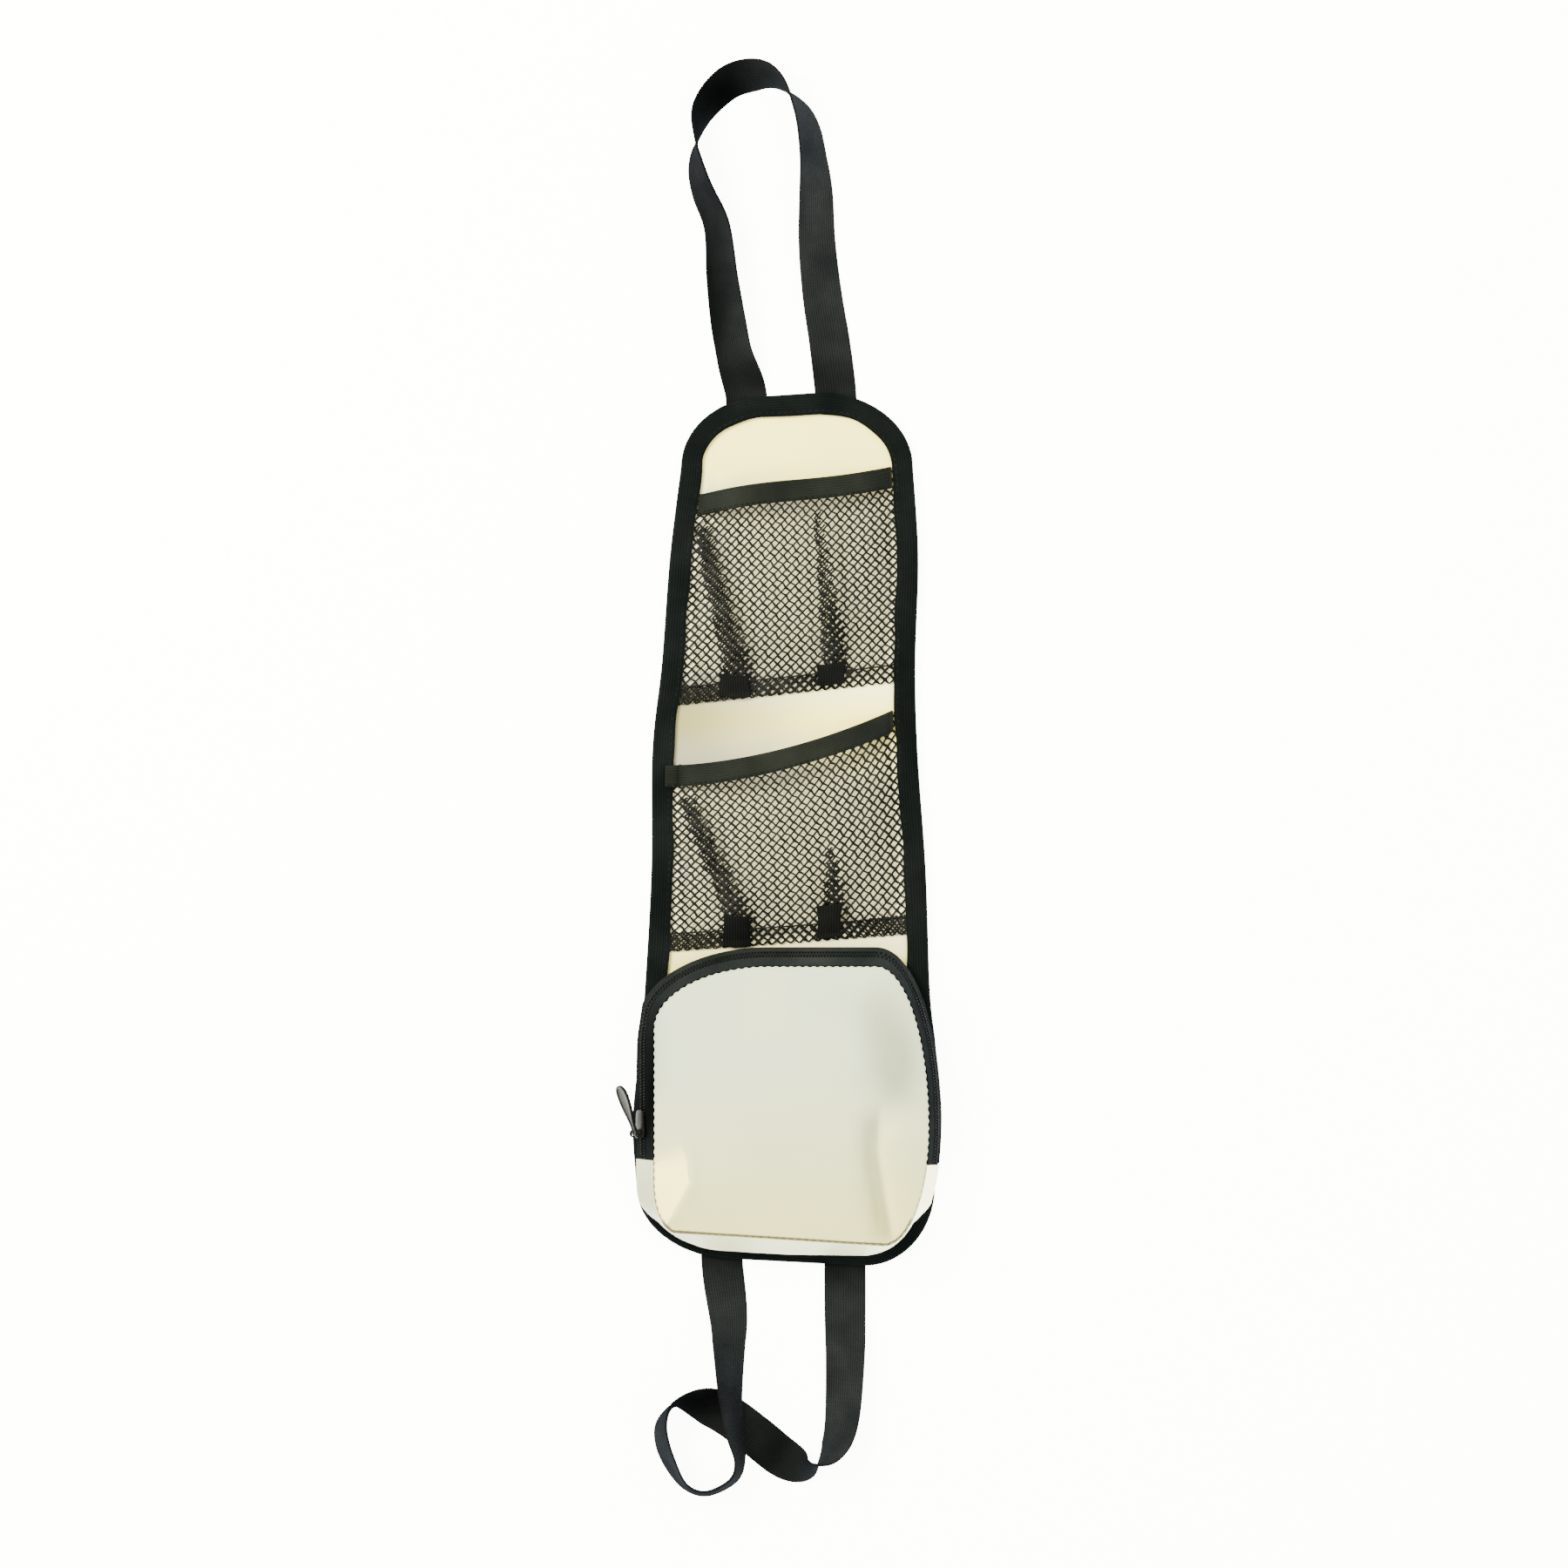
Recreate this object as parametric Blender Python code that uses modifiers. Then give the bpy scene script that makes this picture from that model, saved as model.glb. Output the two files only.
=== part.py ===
"""Car seat side organizer: a bound panel with two net pockets, a zipped pouch and two strap loops.

The organizer lies on its back. X runs across it, +Y towards its top strap and +Z out of its front.
The origin is the middle of the pad on the panel's back. Lengths are in metres and angles in degrees.
"""
import math

import bmesh
import bpy
from mathutils import Matrix, Vector

CLEARANCE = 0.0003

# Outer edge of the bound panel: height on the panel, left edge, right edge, from foot to shoulder
EDGE_STATIONS = [
    (-0.1720, -0.0731, 0.0706),
    (-0.1400, -0.0750, 0.0739),
    (-0.1040, -0.0714, 0.0710),
    (-0.0780, -0.0692, 0.0682),
    (-0.0200, -0.0660, 0.0662),
    (0.0380, -0.0655, 0.0622),
    (0.0806, -0.0609, 0.0612),
    (0.1310, -0.0571, 0.0626),
    (0.1747, -0.0517, 0.0600),
]
TOP_RIGHT_CORNER = (0.0453, 0.0357)
TOP_LEFT_CORNER = (0.0412, 0.0340)
BOTTOM_LEFT_CORNER = (0.0480, 0.0350)
BOTTOM_RIGHT_CORNER = (0.0337, 0.0382)
OUTLINE_COUNT = 80
STEPS_BETWEEN_EDGE_STATIONS = 4

# Panel and the tape that binds it
PANEL_EDGE_THICKNESS = 0.0015
PAD_ROUNDING = 0.0006
BINDING_WIDTH = 0.0105
BINDING_THICKNESS = 0.0006
BINDING_FOLD = 0.0009
EDGE_EASE = 0.0009

# Net pockets
NET_THICKNESS = 0.0006
NET_TUCK = 0.0060
NET_CELLS = 14
THREAD_SHARE = 0.12
NET_SIDE_BORDER = 0.060
NET_BOTTOM_BAND = 0.0090
PLEAT_HEIGHT = 0.0022
PLEAT_WIDTH = 0.050
PLEAT_PLACES = (0.27, 0.70)
HEM_WIDTH = 0.0100
HEM_THICKNESS = 0.0006
HEM_GAP = 0.00045
HEM_FOLD = 0.0004
HEM_END_SHARE = 0.030
UPPER_MOUTH = (0.1588, 0.1743)
UPPER_BOTTOM = (0.0588, 0.0706)
UPPER_MOUTH_SAG = 1.0
UPPER_FULLNESS = 0.0120
LOWER_MOUTH = (0.0294, 0.0584)
LOWER_BOTTOM = (-0.0596, -0.0508)
LOWER_MOUTH_SAG = 1.8
LOWER_FULLNESS = 0.0130

# Pouch: the seam round its front, its depth and the shape of its wall
FRONT_LEFT = -0.0643
FRONT_RIGHT = 0.0672
FRONT_TOP = -0.0652
FRONT_BOTTOM_LEFT = -0.1924
FRONT_BOTTOM_RIGHT = -0.1987
FRONT_TOP_LEFT_CORNER = (0.0550, 0.0300)
FRONT_TOP_RIGHT_CORNER = (0.0252, 0.0756)
FRONT_BOTTOM_LEFT_CORNER = (0.0105, 0.0250)
FRONT_BOTTOM_RIGHT_CORNER = (0.0214, 0.0563)
FRONT_COUNT = 56
FRONT_RING_SHARES = (1.0, 0.88, 0.66, 0.40, 0.16)
FRONT_THICKNESS = 0.0012
FRONT_DOME = 0.0035
POUCH_DEPTH = 0.0231
WALL_THICKNESS = 0.0008
WALL_COUNT = 60
GUSSET_COUNT = 30
CREST_OUT = 0.0085
CREST_LESS_AT_RIGHT = 0.0025
CREST_BELOW_SEAM = 0.0148
CREST_OVERHANG = 0.0015
CREST_INSET = 0.0042
CREST_INSET_MORE_AT_RIGHT = 0.0030
CREST_BLEND = 0.0160
WALL_STAND = 0.0024
WALL_BELLY = (0.72, 0.55)

# Zip in the pouch wall
ZIP_LEFT_END = -0.1575
ZIP_RIGHT_END = -0.1600
ZIP_ABOVE_CREST = 0.0070
TOOTH_WIDTH = 0.0024
TOOTH_PITCH = 0.0036
TOOTH_THICKNESS = 0.0021
TOOTH_VALLEY = 0.0011
TOOTH_STEP = 0.0005
PARTING_GAP = 0.0012

# Slider and puller
SLIDER_FROM_END = 0.0165
SLIDER_TRAVEL = 0.0370
SLIDER_LENGTH = 0.0130
SLIDER_NOSE_WIDTH = 0.0090
SLIDER_TAIL_WIDTH = 0.0068
SLIDER_PLATE = 0.0011
SLIDER_ABOVE_TEETH = 0.00045
SLIDER_LUG_THICKNESS = 0.0010
SLIDER_WEB_LENGTH = 0.0060
SLIDER_WEB_FROM_NOSE = 0.0010
# Outline of half a slider plate: share of half its length, share of half its nose or tail width
PLATE_TAIL_SHARES = ((1.0, 0.7), (0.8, 1.0), (-0.1, 1.0))
PLATE_NOSE_SHARES = ((-0.6, 1.0), (-1.0, 0.72))
PIVOT_FROM_MIDDLE = 0.0047
PIVOT_RISE = 0.0018
PIN_RADIUS = 0.0007
LUG_WALL = 0.0009
PULLER_LENGTH = 0.0250
PULLER_WIDTH = 0.0100
PULLER_NECK = 0.0036
PULLER_HEEL = 0.0010
PULLER_NECK_LENGTH = 0.0040
# Outline of the leaf: share of its length, share of half its width
LEAF_SHARES = ((0.36, 0.62), (0.55, 0.86), (0.74, 1.0), (0.88, 0.86), (0.97, 0.45))
PULLER_THICKNESS = 0.0014
PULLER_REST_ANGLE = 21.0

# Elastic straps: x, y, roll about the strap's length and height above the surface, along each strap
STRAP_WIDTH = 0.0200
STRAP_THICKNESS = 0.0012
STEPS_BETWEEN_STATIONS = 3
TOP_STRAP_ROUTE = [
    (-0.0202, 0.1990, 0, 0), (-0.0206, 0.2110, 0, 0), (-0.0258, 0.2276, 29, 0),
    (-0.0290, 0.2444, 33, 0), (-0.0319, 0.2654, 42, 0), (-0.0344, 0.2898, 53, 0),
    (-0.0412, 0.3066, 60, 0), (-0.0445, 0.3192, 70, 0), (-0.0445, 0.3305, 90, 0),
    (-0.0407, 0.3461, 122, 0), (-0.0290, 0.3591, 137, 0), (-0.0155, 0.3629, 133, 0),
    (-0.0046, 0.3594, 104, 0), (0.0050, 0.3486, 72, 0), (0.0097, 0.3377, 58, 0),
    (0.0122, 0.3221, 50, 0), (0.0134, 0.3066, 38, 0), (0.0139, 0.2822, 28, 0),
    (0.0164, 0.2570, 18, 0), (0.0197, 0.2360, 10, 0), (0.0225, 0.2135, 0, 0),
    (0.0231, 0.2008, 0, 0),
]
BOTTOM_STRAP_ROUTE = [
    (-0.0321, -0.1965, 0, 0), (-0.0318, -0.2105, 0, 0), (-0.0287, -0.2352, 27, 0),
    (-0.0284, -0.2500, 42, 0.0012), (-0.0279, -0.2692, 56, 0.0030), (-0.0260, -0.2890, 69, 0.0034),
    (-0.0232, -0.3026, 77, 0.0030), (-0.0265, -0.3128, 78, 0.0004), (-0.0395, -0.3192, 79, 0),
    (-0.0504, -0.3150, 78, 0), (-0.0584, -0.3016, 70, 0), (-0.0613, -0.2898, 72, 0),
    (-0.0592, -0.2814, 84, 0), (-0.0546, -0.2762, 100, 0), (-0.0446, -0.2762, 138, 0),
    (-0.0349, -0.2793, 170, 0), (-0.0260, -0.2846, 180, 0), (-0.0147, -0.2932, 180, 0),
    (-0.0030, -0.3024, 172, 0), (0.0075, -0.3070, 138, 0), (0.0139, -0.3050, 96, 0),
    (0.0210, -0.2982, 58, 0), (0.0256, -0.2848, 38, 0), (0.0273, -0.2554, 22, 0),
    (0.0273, -0.2330, 8, 0), (0.0273, -0.2130, 0, 0), (0.0273, -0.1995, 0, 0),
]

# Levels of the layers at the panel's edge, counted up from the surface that it lies on
BINDING_LOWER = STRAP_THICKNESS + CLEARANCE + BINDING_THICKNESS / 2
PANEL_EDGE_LOWER = BINDING_LOWER + BINDING_THICKNESS / 2 + CLEARANCE
PANEL_FACE = PANEL_EDGE_LOWER + PANEL_EDGE_THICKNESS
NET_LEVEL = PANEL_FACE + CLEARANCE + NET_THICKNESS / 2
BINDING_UPPER = NET_LEVEL + NET_THICKNESS / 2 + CLEARANCE + BINDING_THICKNESS / 2
WALL_FOOT = PANEL_FACE + CLEARANCE
FRONT_LEVEL = WALL_FOOT + POUCH_DEPTH
SEAM_LEVEL = FRONT_LEVEL - CLEARANCE - WALL_THICKNESS / 2
PAD_INSET = BINDING_WIDTH + 2 * CLEARANCE
WALL_INSET = BINDING_WIDTH + CLEARANCE + WALL_THICKNESS / 2


def clear_scene():
    """Remove every object that the file opened with."""
    for found in list(bpy.data.objects):
        bpy.data.objects.remove(found, do_unlink=True)


def make_collection(name):
    """Return a new collection linked to the scene."""
    collection = bpy.data.collections.new(name)
    bpy.context.scene.collection.children.link(collection)
    return collection


def make_material(name, colour, roughness, metallic=0.0):
    """Return a Principled material of one colour."""
    material = bpy.data.materials.new(name)
    material.use_nodes = True
    shader = material.node_tree.nodes["Principled BSDF"]
    shader.inputs["Base Color"].default_value = (*colour, 1.0)
    shader.inputs["Roughness"].default_value = roughness
    shader.inputs["Metallic"].default_value = metallic
    material.diffuse_color = (*colour, 1.0)
    return material


def add_object(name, mesh, collection, material):
    """Link a mesh as a named object with its own material."""
    mesh.materials.append(material)
    made = bpy.data.objects.new(name, mesh)
    collection.objects.link(made)
    return made


def mesh_from_bmesh(name, source):
    """Turn a bmesh into a mesh with its faces pointing outwards."""
    bmesh.ops.recalc_face_normals(source, faces=source.faces[:])
    mesh = bpy.data.meshes.new(name)
    source.to_mesh(mesh)
    source.free()
    return mesh


def skin(rows, wrap_rows=False, wrap_columns=False):
    """Return a bmesh surface over rows of points, and its rows of vertices."""
    surface = bmesh.new()
    grid = [[surface.verts.new(point) for point in row] for row in rows]
    row_pairs = len(grid) if wrap_rows else len(grid) - 1
    column_pairs = len(grid[0]) if wrap_columns else len(grid[0]) - 1
    for i in range(row_pairs):
        near, far = grid[i], grid[(i + 1) % len(grid)]
        for j in range(column_pairs):
            k = (j + 1) % len(near)
            surface.faces.new((near[j], near[k], far[k], far[j]))
    return surface, grid


def add_sheet(name, surface, thickness, collection, material, offset=0.0):
    """Give an open surface its thickness and link it."""
    made = add_object(name, mesh_from_bmesh(name, surface), collection, material)
    solidify = made.modifiers.new("thickness", "SOLIDIFY")
    solidify.thickness = thickness
    solidify.offset = offset
    solidify.use_even_offset = True
    return made


def corner_arc(corner_x, corner_y, radii, start, count=12):
    """Return a quarter ellipse that rounds the corner of two straight edges."""
    towards = Vector((math.cos(math.radians(start + 45)), math.sin(math.radians(start + 45))))
    centre_x = corner_x - math.copysign(radii[0], towards.x)
    centre_y = corner_y - math.copysign(radii[1], towards.y)
    points = []
    for i in range(count + 1):
        angle = math.radians(start + 90.0 * i / count)
        points.append(Vector((centre_x + radii[0] * math.cos(angle), centre_y + radii[1] * math.sin(angle))))
    return points


def smooth_route(stations, steps):
    """Return points on a Catmull-Rom curve through the stations."""
    keys = [Vector(station) for station in stations]
    points = []
    for i in range(len(keys) - 1):
        before = keys[max(i - 1, 0)]
        after = keys[min(i + 2, len(keys) - 1)]
        for j in range(steps):
            t = j / steps
            linear = (keys[i + 1] - before) * 0.5
            square = before - keys[i] * 2.5 + keys[i + 1] * 2.0 - after * 0.5
            cubic = (after - before) * 0.5 + (keys[i] - keys[i + 1]) * 1.5
            points.append(keys[i] + linear * t + square * t ** 2 + cubic * t ** 3)
    points.append(keys[-1])
    return points


def resample(points, count, closed):
    """Return evenly spaced points along a polyline."""
    chain = points + [points[0]] if closed else points
    reach = [0.0]
    for a, b in zip(chain, chain[1:]):
        reach.append(reach[-1] + (b - a).length)
    spans = count if closed else count - 1
    placed = []
    k = 0
    for i in range(count):
        target = reach[-1] * i / spans
        while k < len(reach) - 2 and reach[k + 1] < target:
            k += 1
        length = reach[k + 1] - reach[k]
        share = (target - reach[k]) / length if length else 0.0
        placed.append(chain[k].lerp(chain[k + 1], share))
    return placed


def outward_normals(points, closed):
    """Return the unit normals on the right of an anticlockwise path."""
    normals = []
    last = len(points) - 1
    for i in range(len(points)):
        before = points[i - 1] if closed or i else points[0]
        after = points[(i + 1) % len(points)] if closed or i < last else points[last]
        along = (after - before).normalized()
        normals.append(Vector((along.y, -along.x)))
    return normals


def panel_outline():
    """Return the outer edge of the bound panel, anticlockwise from its right foot."""
    right = smooth_route([(x_right, y) for y, _, x_right in EDGE_STATIONS], STEPS_BETWEEN_EDGE_STATIONS)
    left = smooth_route([(x_left, y) for y, x_left, _ in reversed(EDGE_STATIONS)], STEPS_BETWEEN_EDGE_STATIONS)
    foot, shoulder = EDGE_STATIONS[0][0], EDGE_STATIONS[-1][0]
    path = right
    path += corner_arc(right[-1].x, shoulder + TOP_RIGHT_CORNER[1], TOP_RIGHT_CORNER, 0)[1:]
    path += corner_arc(left[0].x, shoulder + TOP_LEFT_CORNER[1], TOP_LEFT_CORNER, 90)
    path += left[1:]
    path += corner_arc(left[-1].x, foot - BOTTOM_LEFT_CORNER[1], BOTTOM_LEFT_CORNER, 180)[1:]
    path += corner_arc(EDGE_STATIONS[0][2], foot - BOTTOM_RIGHT_CORNER[1], BOTTOM_RIGHT_CORNER, 270)[:-1]
    return resample(path, OUTLINE_COUNT, closed=True)


OUTLINE = panel_outline()
OUTLINE_NORMALS = outward_normals(OUTLINE, closed=True)


def inset_loop(inset, level):
    """Return the panel's outline moved inwards, at a level."""
    return [(*(point - normal * inset), level) for point, normal in zip(OUTLINE, OUTLINE_NORMALS)]


def edge_at(level_y, side, inset):
    """Return the x of the outline's left (-1) or right (1) side at a height on the panel."""
    found = []
    for i, start in enumerate(OUTLINE):
        end = OUTLINE[(i + 1) % len(OUTLINE)]
        if (start.y - level_y) * (end.y - level_y) <= 0 and abs(start.y - end.y) > 1e-9:
            share = (level_y - start.y) / (end.y - start.y)
            found.append(start.x + (end.x - start.x) * share)
    return max(found) - inset if side > 0 else min(found) + inset


def hold_inside(point, inset):
    """Move a point in from the panel's edge until it lies at least the inset away."""
    nearest = None
    for i, start in enumerate(OUTLINE):
        step = OUTLINE[(i + 1) % len(OUTLINE)] - start
        share = min(max((point - start).dot(step) / step.length_squared, 0.0), 1.0)
        foot = start + step * share
        inward = Vector((-step.y, step.x)).normalized()
        if nearest is None or (point - foot).length < nearest[0]:
            nearest = ((point - foot).length, foot, inward)
    _, foot, inward = nearest
    depth = (point - foot).dot(inward)
    return foot + inward * inset if depth < inset else point


def build_panel(collection, material):
    """Make the laminated panel: a pad that thins out to a flat edge."""
    edge_inset = BINDING_THICKNESS + EDGE_EASE
    rings = [
        inset_loop(PAD_INSET + PAD_ROUNDING, 0.0),
        inset_loop(PAD_INSET, PAD_ROUNDING),
        inset_loop(PAD_INSET, PANEL_EDGE_LOWER),
        inset_loop(edge_inset, PANEL_EDGE_LOWER),
        inset_loop(edge_inset, PANEL_FACE),
    ]
    surface, grid = skin(rings, wrap_columns=True)
    surface.faces.new(grid[0])
    surface.faces.new(grid[-1])
    return add_object("back_panel", mesh_from_bmesh("back_panel", surface), collection, material)


def build_binding(collection, material):
    """Make the tape that folds round the panel's edge as a U section."""
    half = BINDING_THICKNESS / 2
    section = [
        (BINDING_WIDTH, BINDING_LOWER),
        (half + BINDING_FOLD, BINDING_LOWER),
        (half, BINDING_LOWER + BINDING_FOLD),
        (half, BINDING_UPPER - BINDING_FOLD),
        (half + BINDING_FOLD, BINDING_UPPER),
        (BINDING_WIDTH, BINDING_UPPER),
    ]
    rows = [inset_loop(inset, level) for inset, level in section]
    surface, _ = skin(rows, wrap_columns=True)
    return add_sheet("edge_binding", surface, BINDING_THICKNESS, collection, material)


class Pocket:
    """A net pocket: u runs from its left side to its right, v from its mouth to its bottom seam."""

    def __init__(self, mouth, bottom, sag, fullness):
        self.mouth = mouth
        self.bottom = bottom
        self.sag = sag
        self.fullness = fullness

    def heights(self, u):
        """Return the mouth's and the seam's height on the panel at u."""
        mouth = self.mouth[0] + (self.mouth[1] - self.mouth[0]) * min(max(u, 0.0), 1.0) ** self.sag
        bottom = self.bottom[0] + (self.bottom[1] - self.bottom[0]) * u
        return mouth, bottom

    def bottom_share(self, u):
        """Return the share of v that the flat band at the seam takes."""
        mouth, bottom = self.heights(u)
        return NET_BOTTOM_BAND / (mouth - bottom)

    def rise(self, u, v):
        """Return how far the net stands off its seams."""
        across = (u - NET_SIDE_BORDER) / (1 - 2 * NET_SIDE_BORDER)
        across = min(max(across, 0.0), 1.0)
        down = min(max(v / (1 - self.bottom_share(u) / 2), 0.0), 1.0)
        body = (1 - abs(2 * across - 1) ** 3) * (1 - down ** 3)
        folds = 0.0
        for place in PLEAT_PLACES:
            folds += math.exp(-((across - place) / PLEAT_WIDTH) ** 2) * math.sin(math.pi * down ** 2)
        return self.fullness * body + PLEAT_HEIGHT * folds

    def point(self, u, v):
        """Return the point of the net's middle surface at u and v."""
        mouth, bottom = self.heights(u)
        y = mouth + (bottom - mouth) * v
        left = edge_at(y, -1, NET_TUCK)
        right = edge_at(y, 1, NET_TUCK)
        return Vector((left + (right - left) * u, y, NET_LEVEL + self.rise(u, v)))

    def normal(self, u, v):
        """Return the net's upward normal at u and v."""
        step = 0.004
        across = self.point(u + step, v) - self.point(u - step, v)
        down = self.point(u, v - step) - self.point(u, v + step)
        return across.cross(down).normalized()


def lattice_marks():
    """Return the places of the lattice's vertices along its border, in cells."""
    marks = [0.0]
    for crossing in range(1, NET_CELLS, 2):
        marks += [crossing - THREAD_SHARE, crossing + THREAD_SHARE]
    return marks + [float(NET_CELLS)]


def net_surface(pocket):
    """Return a net of crossed diagonal threads inside a plain border."""
    surface = bmesh.new()
    made = {}

    def vertex(i, j):
        """Return the vertex at a lattice place, where -1 and cells + 1 are the border's rim."""
        key = (round(i, 4), round(j, 4))
        if key not in made:
            inner = min(max(i, 0.0), float(NET_CELLS)) / NET_CELLS
            u = NET_SIDE_BORDER + (1 - 2 * NET_SIDE_BORDER) * inner
            u = 0.0 if i < 0 else 1.0 if i > NET_CELLS else u
            mouth, bottom = pocket.heights(u)
            mouth_share = HEM_WIDTH / (mouth - bottom)
            bottom_share = pocket.bottom_share(u)
            v = mouth_share + (1 - mouth_share - bottom_share) * min(max(j, 0.0), NET_CELLS) / NET_CELLS
            v = 0.0 if j < 0 else 1.0 if j > NET_CELLS else v
            made[key] = surface.verts.new(pocket.point(u, v))
        return made[key]

    def crossing(i, j):
        """Return the corners of the crossing at i, j that lie inside the net: east, north, west, south."""
        return {
            "east": (i + THREAD_SHARE, j), "north": (i, j + THREAD_SHARE),
            "west": (i - THREAD_SHARE, j), "south": (i, j - THREAD_SHARE),
        }

    for i in range(NET_CELLS + 1):
        for j in range(NET_CELLS + 1):
            if (i + j) % 2 == 0:
                continue
            corners = crossing(i, j)
            inside = [place for place in corners.values()
                      if 0 <= place[0] <= NET_CELLS and 0 <= place[1] <= NET_CELLS]
            surface.faces.new([vertex(*place) for place in inside])
            for step in (-1, 1):
                if i < NET_CELLS and 0 <= j + step <= NET_CELLS:
                    far = crossing(i + 1, j + step)
                    near_side = corners["north"] if step > 0 else corners["south"]
                    far_side = far["south"] if step > 0 else far["north"]
                    places = (corners["east"], far_side, far["west"], near_side)
                    surface.faces.new([vertex(*place) for place in places])

    marks = lattice_marks()
    rim = float(NET_CELLS + 1)
    for a, b in zip(marks, marks[1:]):
        surface.faces.new([vertex(*p) for p in ((-1.0, a), (0.0, a), (0.0, b), (-1.0, b))])
        surface.faces.new([vertex(*p) for p in ((NET_CELLS, a), (rim, a), (rim, b), (NET_CELLS, b))])
        surface.faces.new([vertex(*p) for p in ((a, -1.0), (b, -1.0), (b, 0.0), (a, 0.0))])
        surface.faces.new([vertex(*p) for p in ((a, NET_CELLS), (b, NET_CELLS), (b, rim), (a, rim))])
    for i, outer_i in ((0.0, -1.0), (float(NET_CELLS), rim)):
        for j, outer_j in ((0.0, -1.0), (float(NET_CELLS), rim)):
            surface.faces.new([vertex(*p) for p in ((i, j), (outer_i, j), (outer_i, outer_j), (i, outer_j))])
    return surface


def build_net(name, pocket, collection, material):
    """Make a pocket's net."""
    return add_sheet(name, net_surface(pocket), NET_THICKNESS, collection, material)


def build_hem(name, pocket, collection, material):
    """Make the tape folded over a pocket's mouth."""
    lift = NET_THICKNESS / 2 + HEM_GAP + HEM_THICKNESS / 2
    profile = [(HEM_WIDTH, -lift), (HEM_FOLD, -lift), (-lift, 0.0), (HEM_FOLD, lift), (HEM_WIDTH, lift)]
    marks = [mark / NET_CELLS for mark in lattice_marks()[1:-1]]
    rows = []
    for across in [HEM_END_SHARE] + marks + [1 - HEM_END_SHARE]:
        u = NET_SIDE_BORDER + (1 - 2 * NET_SIDE_BORDER) * across
        mouth, bottom = pocket.heights(u)
        row = []
        for down, off in profile:
            v = down / (mouth - bottom)
            row.append(pocket.point(u, v) + pocket.normal(u, max(v, 0.0)) * off)
        rows.append(row)
    surface, _ = skin(rows)
    return add_sheet(name, surface, HEM_THICKNESS, collection, material)


def front_loop():
    """Return the seam round the pouch's front, anticlockwise from the middle of its right side."""
    path = []
    path += corner_arc(FRONT_RIGHT, FRONT_TOP, FRONT_TOP_RIGHT_CORNER, 0)
    path += corner_arc(FRONT_LEFT, FRONT_TOP, FRONT_TOP_LEFT_CORNER, 90)
    path += corner_arc(FRONT_LEFT, FRONT_BOTTOM_LEFT, FRONT_BOTTOM_LEFT_CORNER, 180)
    path += corner_arc(FRONT_RIGHT, FRONT_BOTTOM_RIGHT, FRONT_BOTTOM_RIGHT_CORNER, 270)
    return resample(path, 720, closed=True)


def seam_parts():
    """Return the stretch of the seam that the zip runs along, and the rest of it."""
    loop = front_loop()
    right = min((i for i, p in enumerate(loop) if p.x > 0), key=lambda i: abs(loop[i].y - ZIP_RIGHT_END))
    turned = loop[right:] + loop[:right]
    left = min((i for i, p in enumerate(turned) if p.x < 0), key=lambda i: abs(turned[i].y - ZIP_LEFT_END))
    return turned[:left + 1], turned[left:] + [turned[0]]


def crest_inset(point):
    """Return how far in from the panel's edge the crest stays; beside the slider's travel it may stand out."""
    travel_end = ZIP_LEFT_END + SLIDER_FROM_END + SLIDER_TRAVEL + SLIDER_LENGTH / 2
    below = min(max((EDGE_STATIONS[0][0] - point.y) / CREST_BLEND, 0.0), 1.0)
    above = min(max((point.y - travel_end) / CREST_BLEND, 0.0), 1.0)
    inset = CREST_INSET + CREST_INSET_MORE_AT_RIGHT * max(point.x / FRONT_RIGHT, 0.0)
    return inset * below - CREST_OVERHANG * (1 - below) * (1 - above)


def wall_frame(point, normal):
    """Return the wall's foot, its crest and its seam above one point of the seam."""
    out = CREST_OUT - CREST_LESS_AT_RIGHT * max(normal.x, 0.0) ** 2
    foot = hold_inside(point, WALL_INSET)
    crest = hold_inside(point + normal * out, crest_inset(point))
    return foot, Vector((*crest, SEAM_LEVEL - CREST_BELOW_SEAM)), Vector((*point, SEAM_LEVEL))


def facet_point(crest, seam, distance):
    """Return the point at a distance up the wall's upper face from its crest."""
    return crest + (seam - crest).normalized() * distance


def wall_rows(path, from_crest, to_crest):
    """Return the wall's points over a path, from its foot or from a distance above its crest."""
    normals = outward_normals(path, closed=False)
    rows = []
    for point, normal in zip(path, normals):
        foot, crest, seam = wall_frame(point, normal)
        row = []
        if from_crest is None:
            stand = WALL_FOOT + WALL_STAND
            belly = foot.lerp(crest.xy, WALL_BELLY[0])
            row += [Vector((*foot, WALL_FOOT)), Vector((*foot, stand))]
            row += [Vector((*belly, stand + (crest.z - stand) * WALL_BELLY[1])), crest]
        else:
            row.append(facet_point(crest, seam, from_crest))
        row.append(seam if to_crest is None else facet_point(crest, seam, to_crest))
        rows.append(row)
    return rows


def build_zip_tapes(path, collection, material_back, material_front):
    """Make the two tapes on each side of the teeth."""
    reach = PARTING_GAP / 2 + TOOTH_WIDTH + CLEARANCE
    even = resample(path, WALL_COUNT, closed=False)
    surface, _ = skin(wall_rows(even, None, ZIP_ABOVE_CREST - reach))
    add_sheet("zip_tape_back", surface, WALL_THICKNESS, collection, material_back)
    surface, _ = skin(wall_rows(even, ZIP_ABOVE_CREST + reach, None))
    add_sheet("zip_tape_front", surface, WALL_THICKNESS, collection, material_front)


def build_gusset(path, collection, material):
    """Make the strip that walls the lower part of the pouch, a clearance away from the tapes."""
    even = resample(path, GUSSET_COUNT * 8, closed=False)
    trimmed = [p for p in even if (p - even[0]).length > CLEARANCE and (p - even[-1]).length > CLEARANCE]
    surface, _ = skin(wall_rows(resample(trimmed, GUSSET_COUNT, closed=False), None, None))
    return add_sheet("pouch_gusset", surface, WALL_THICKNESS, collection, material)


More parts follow.
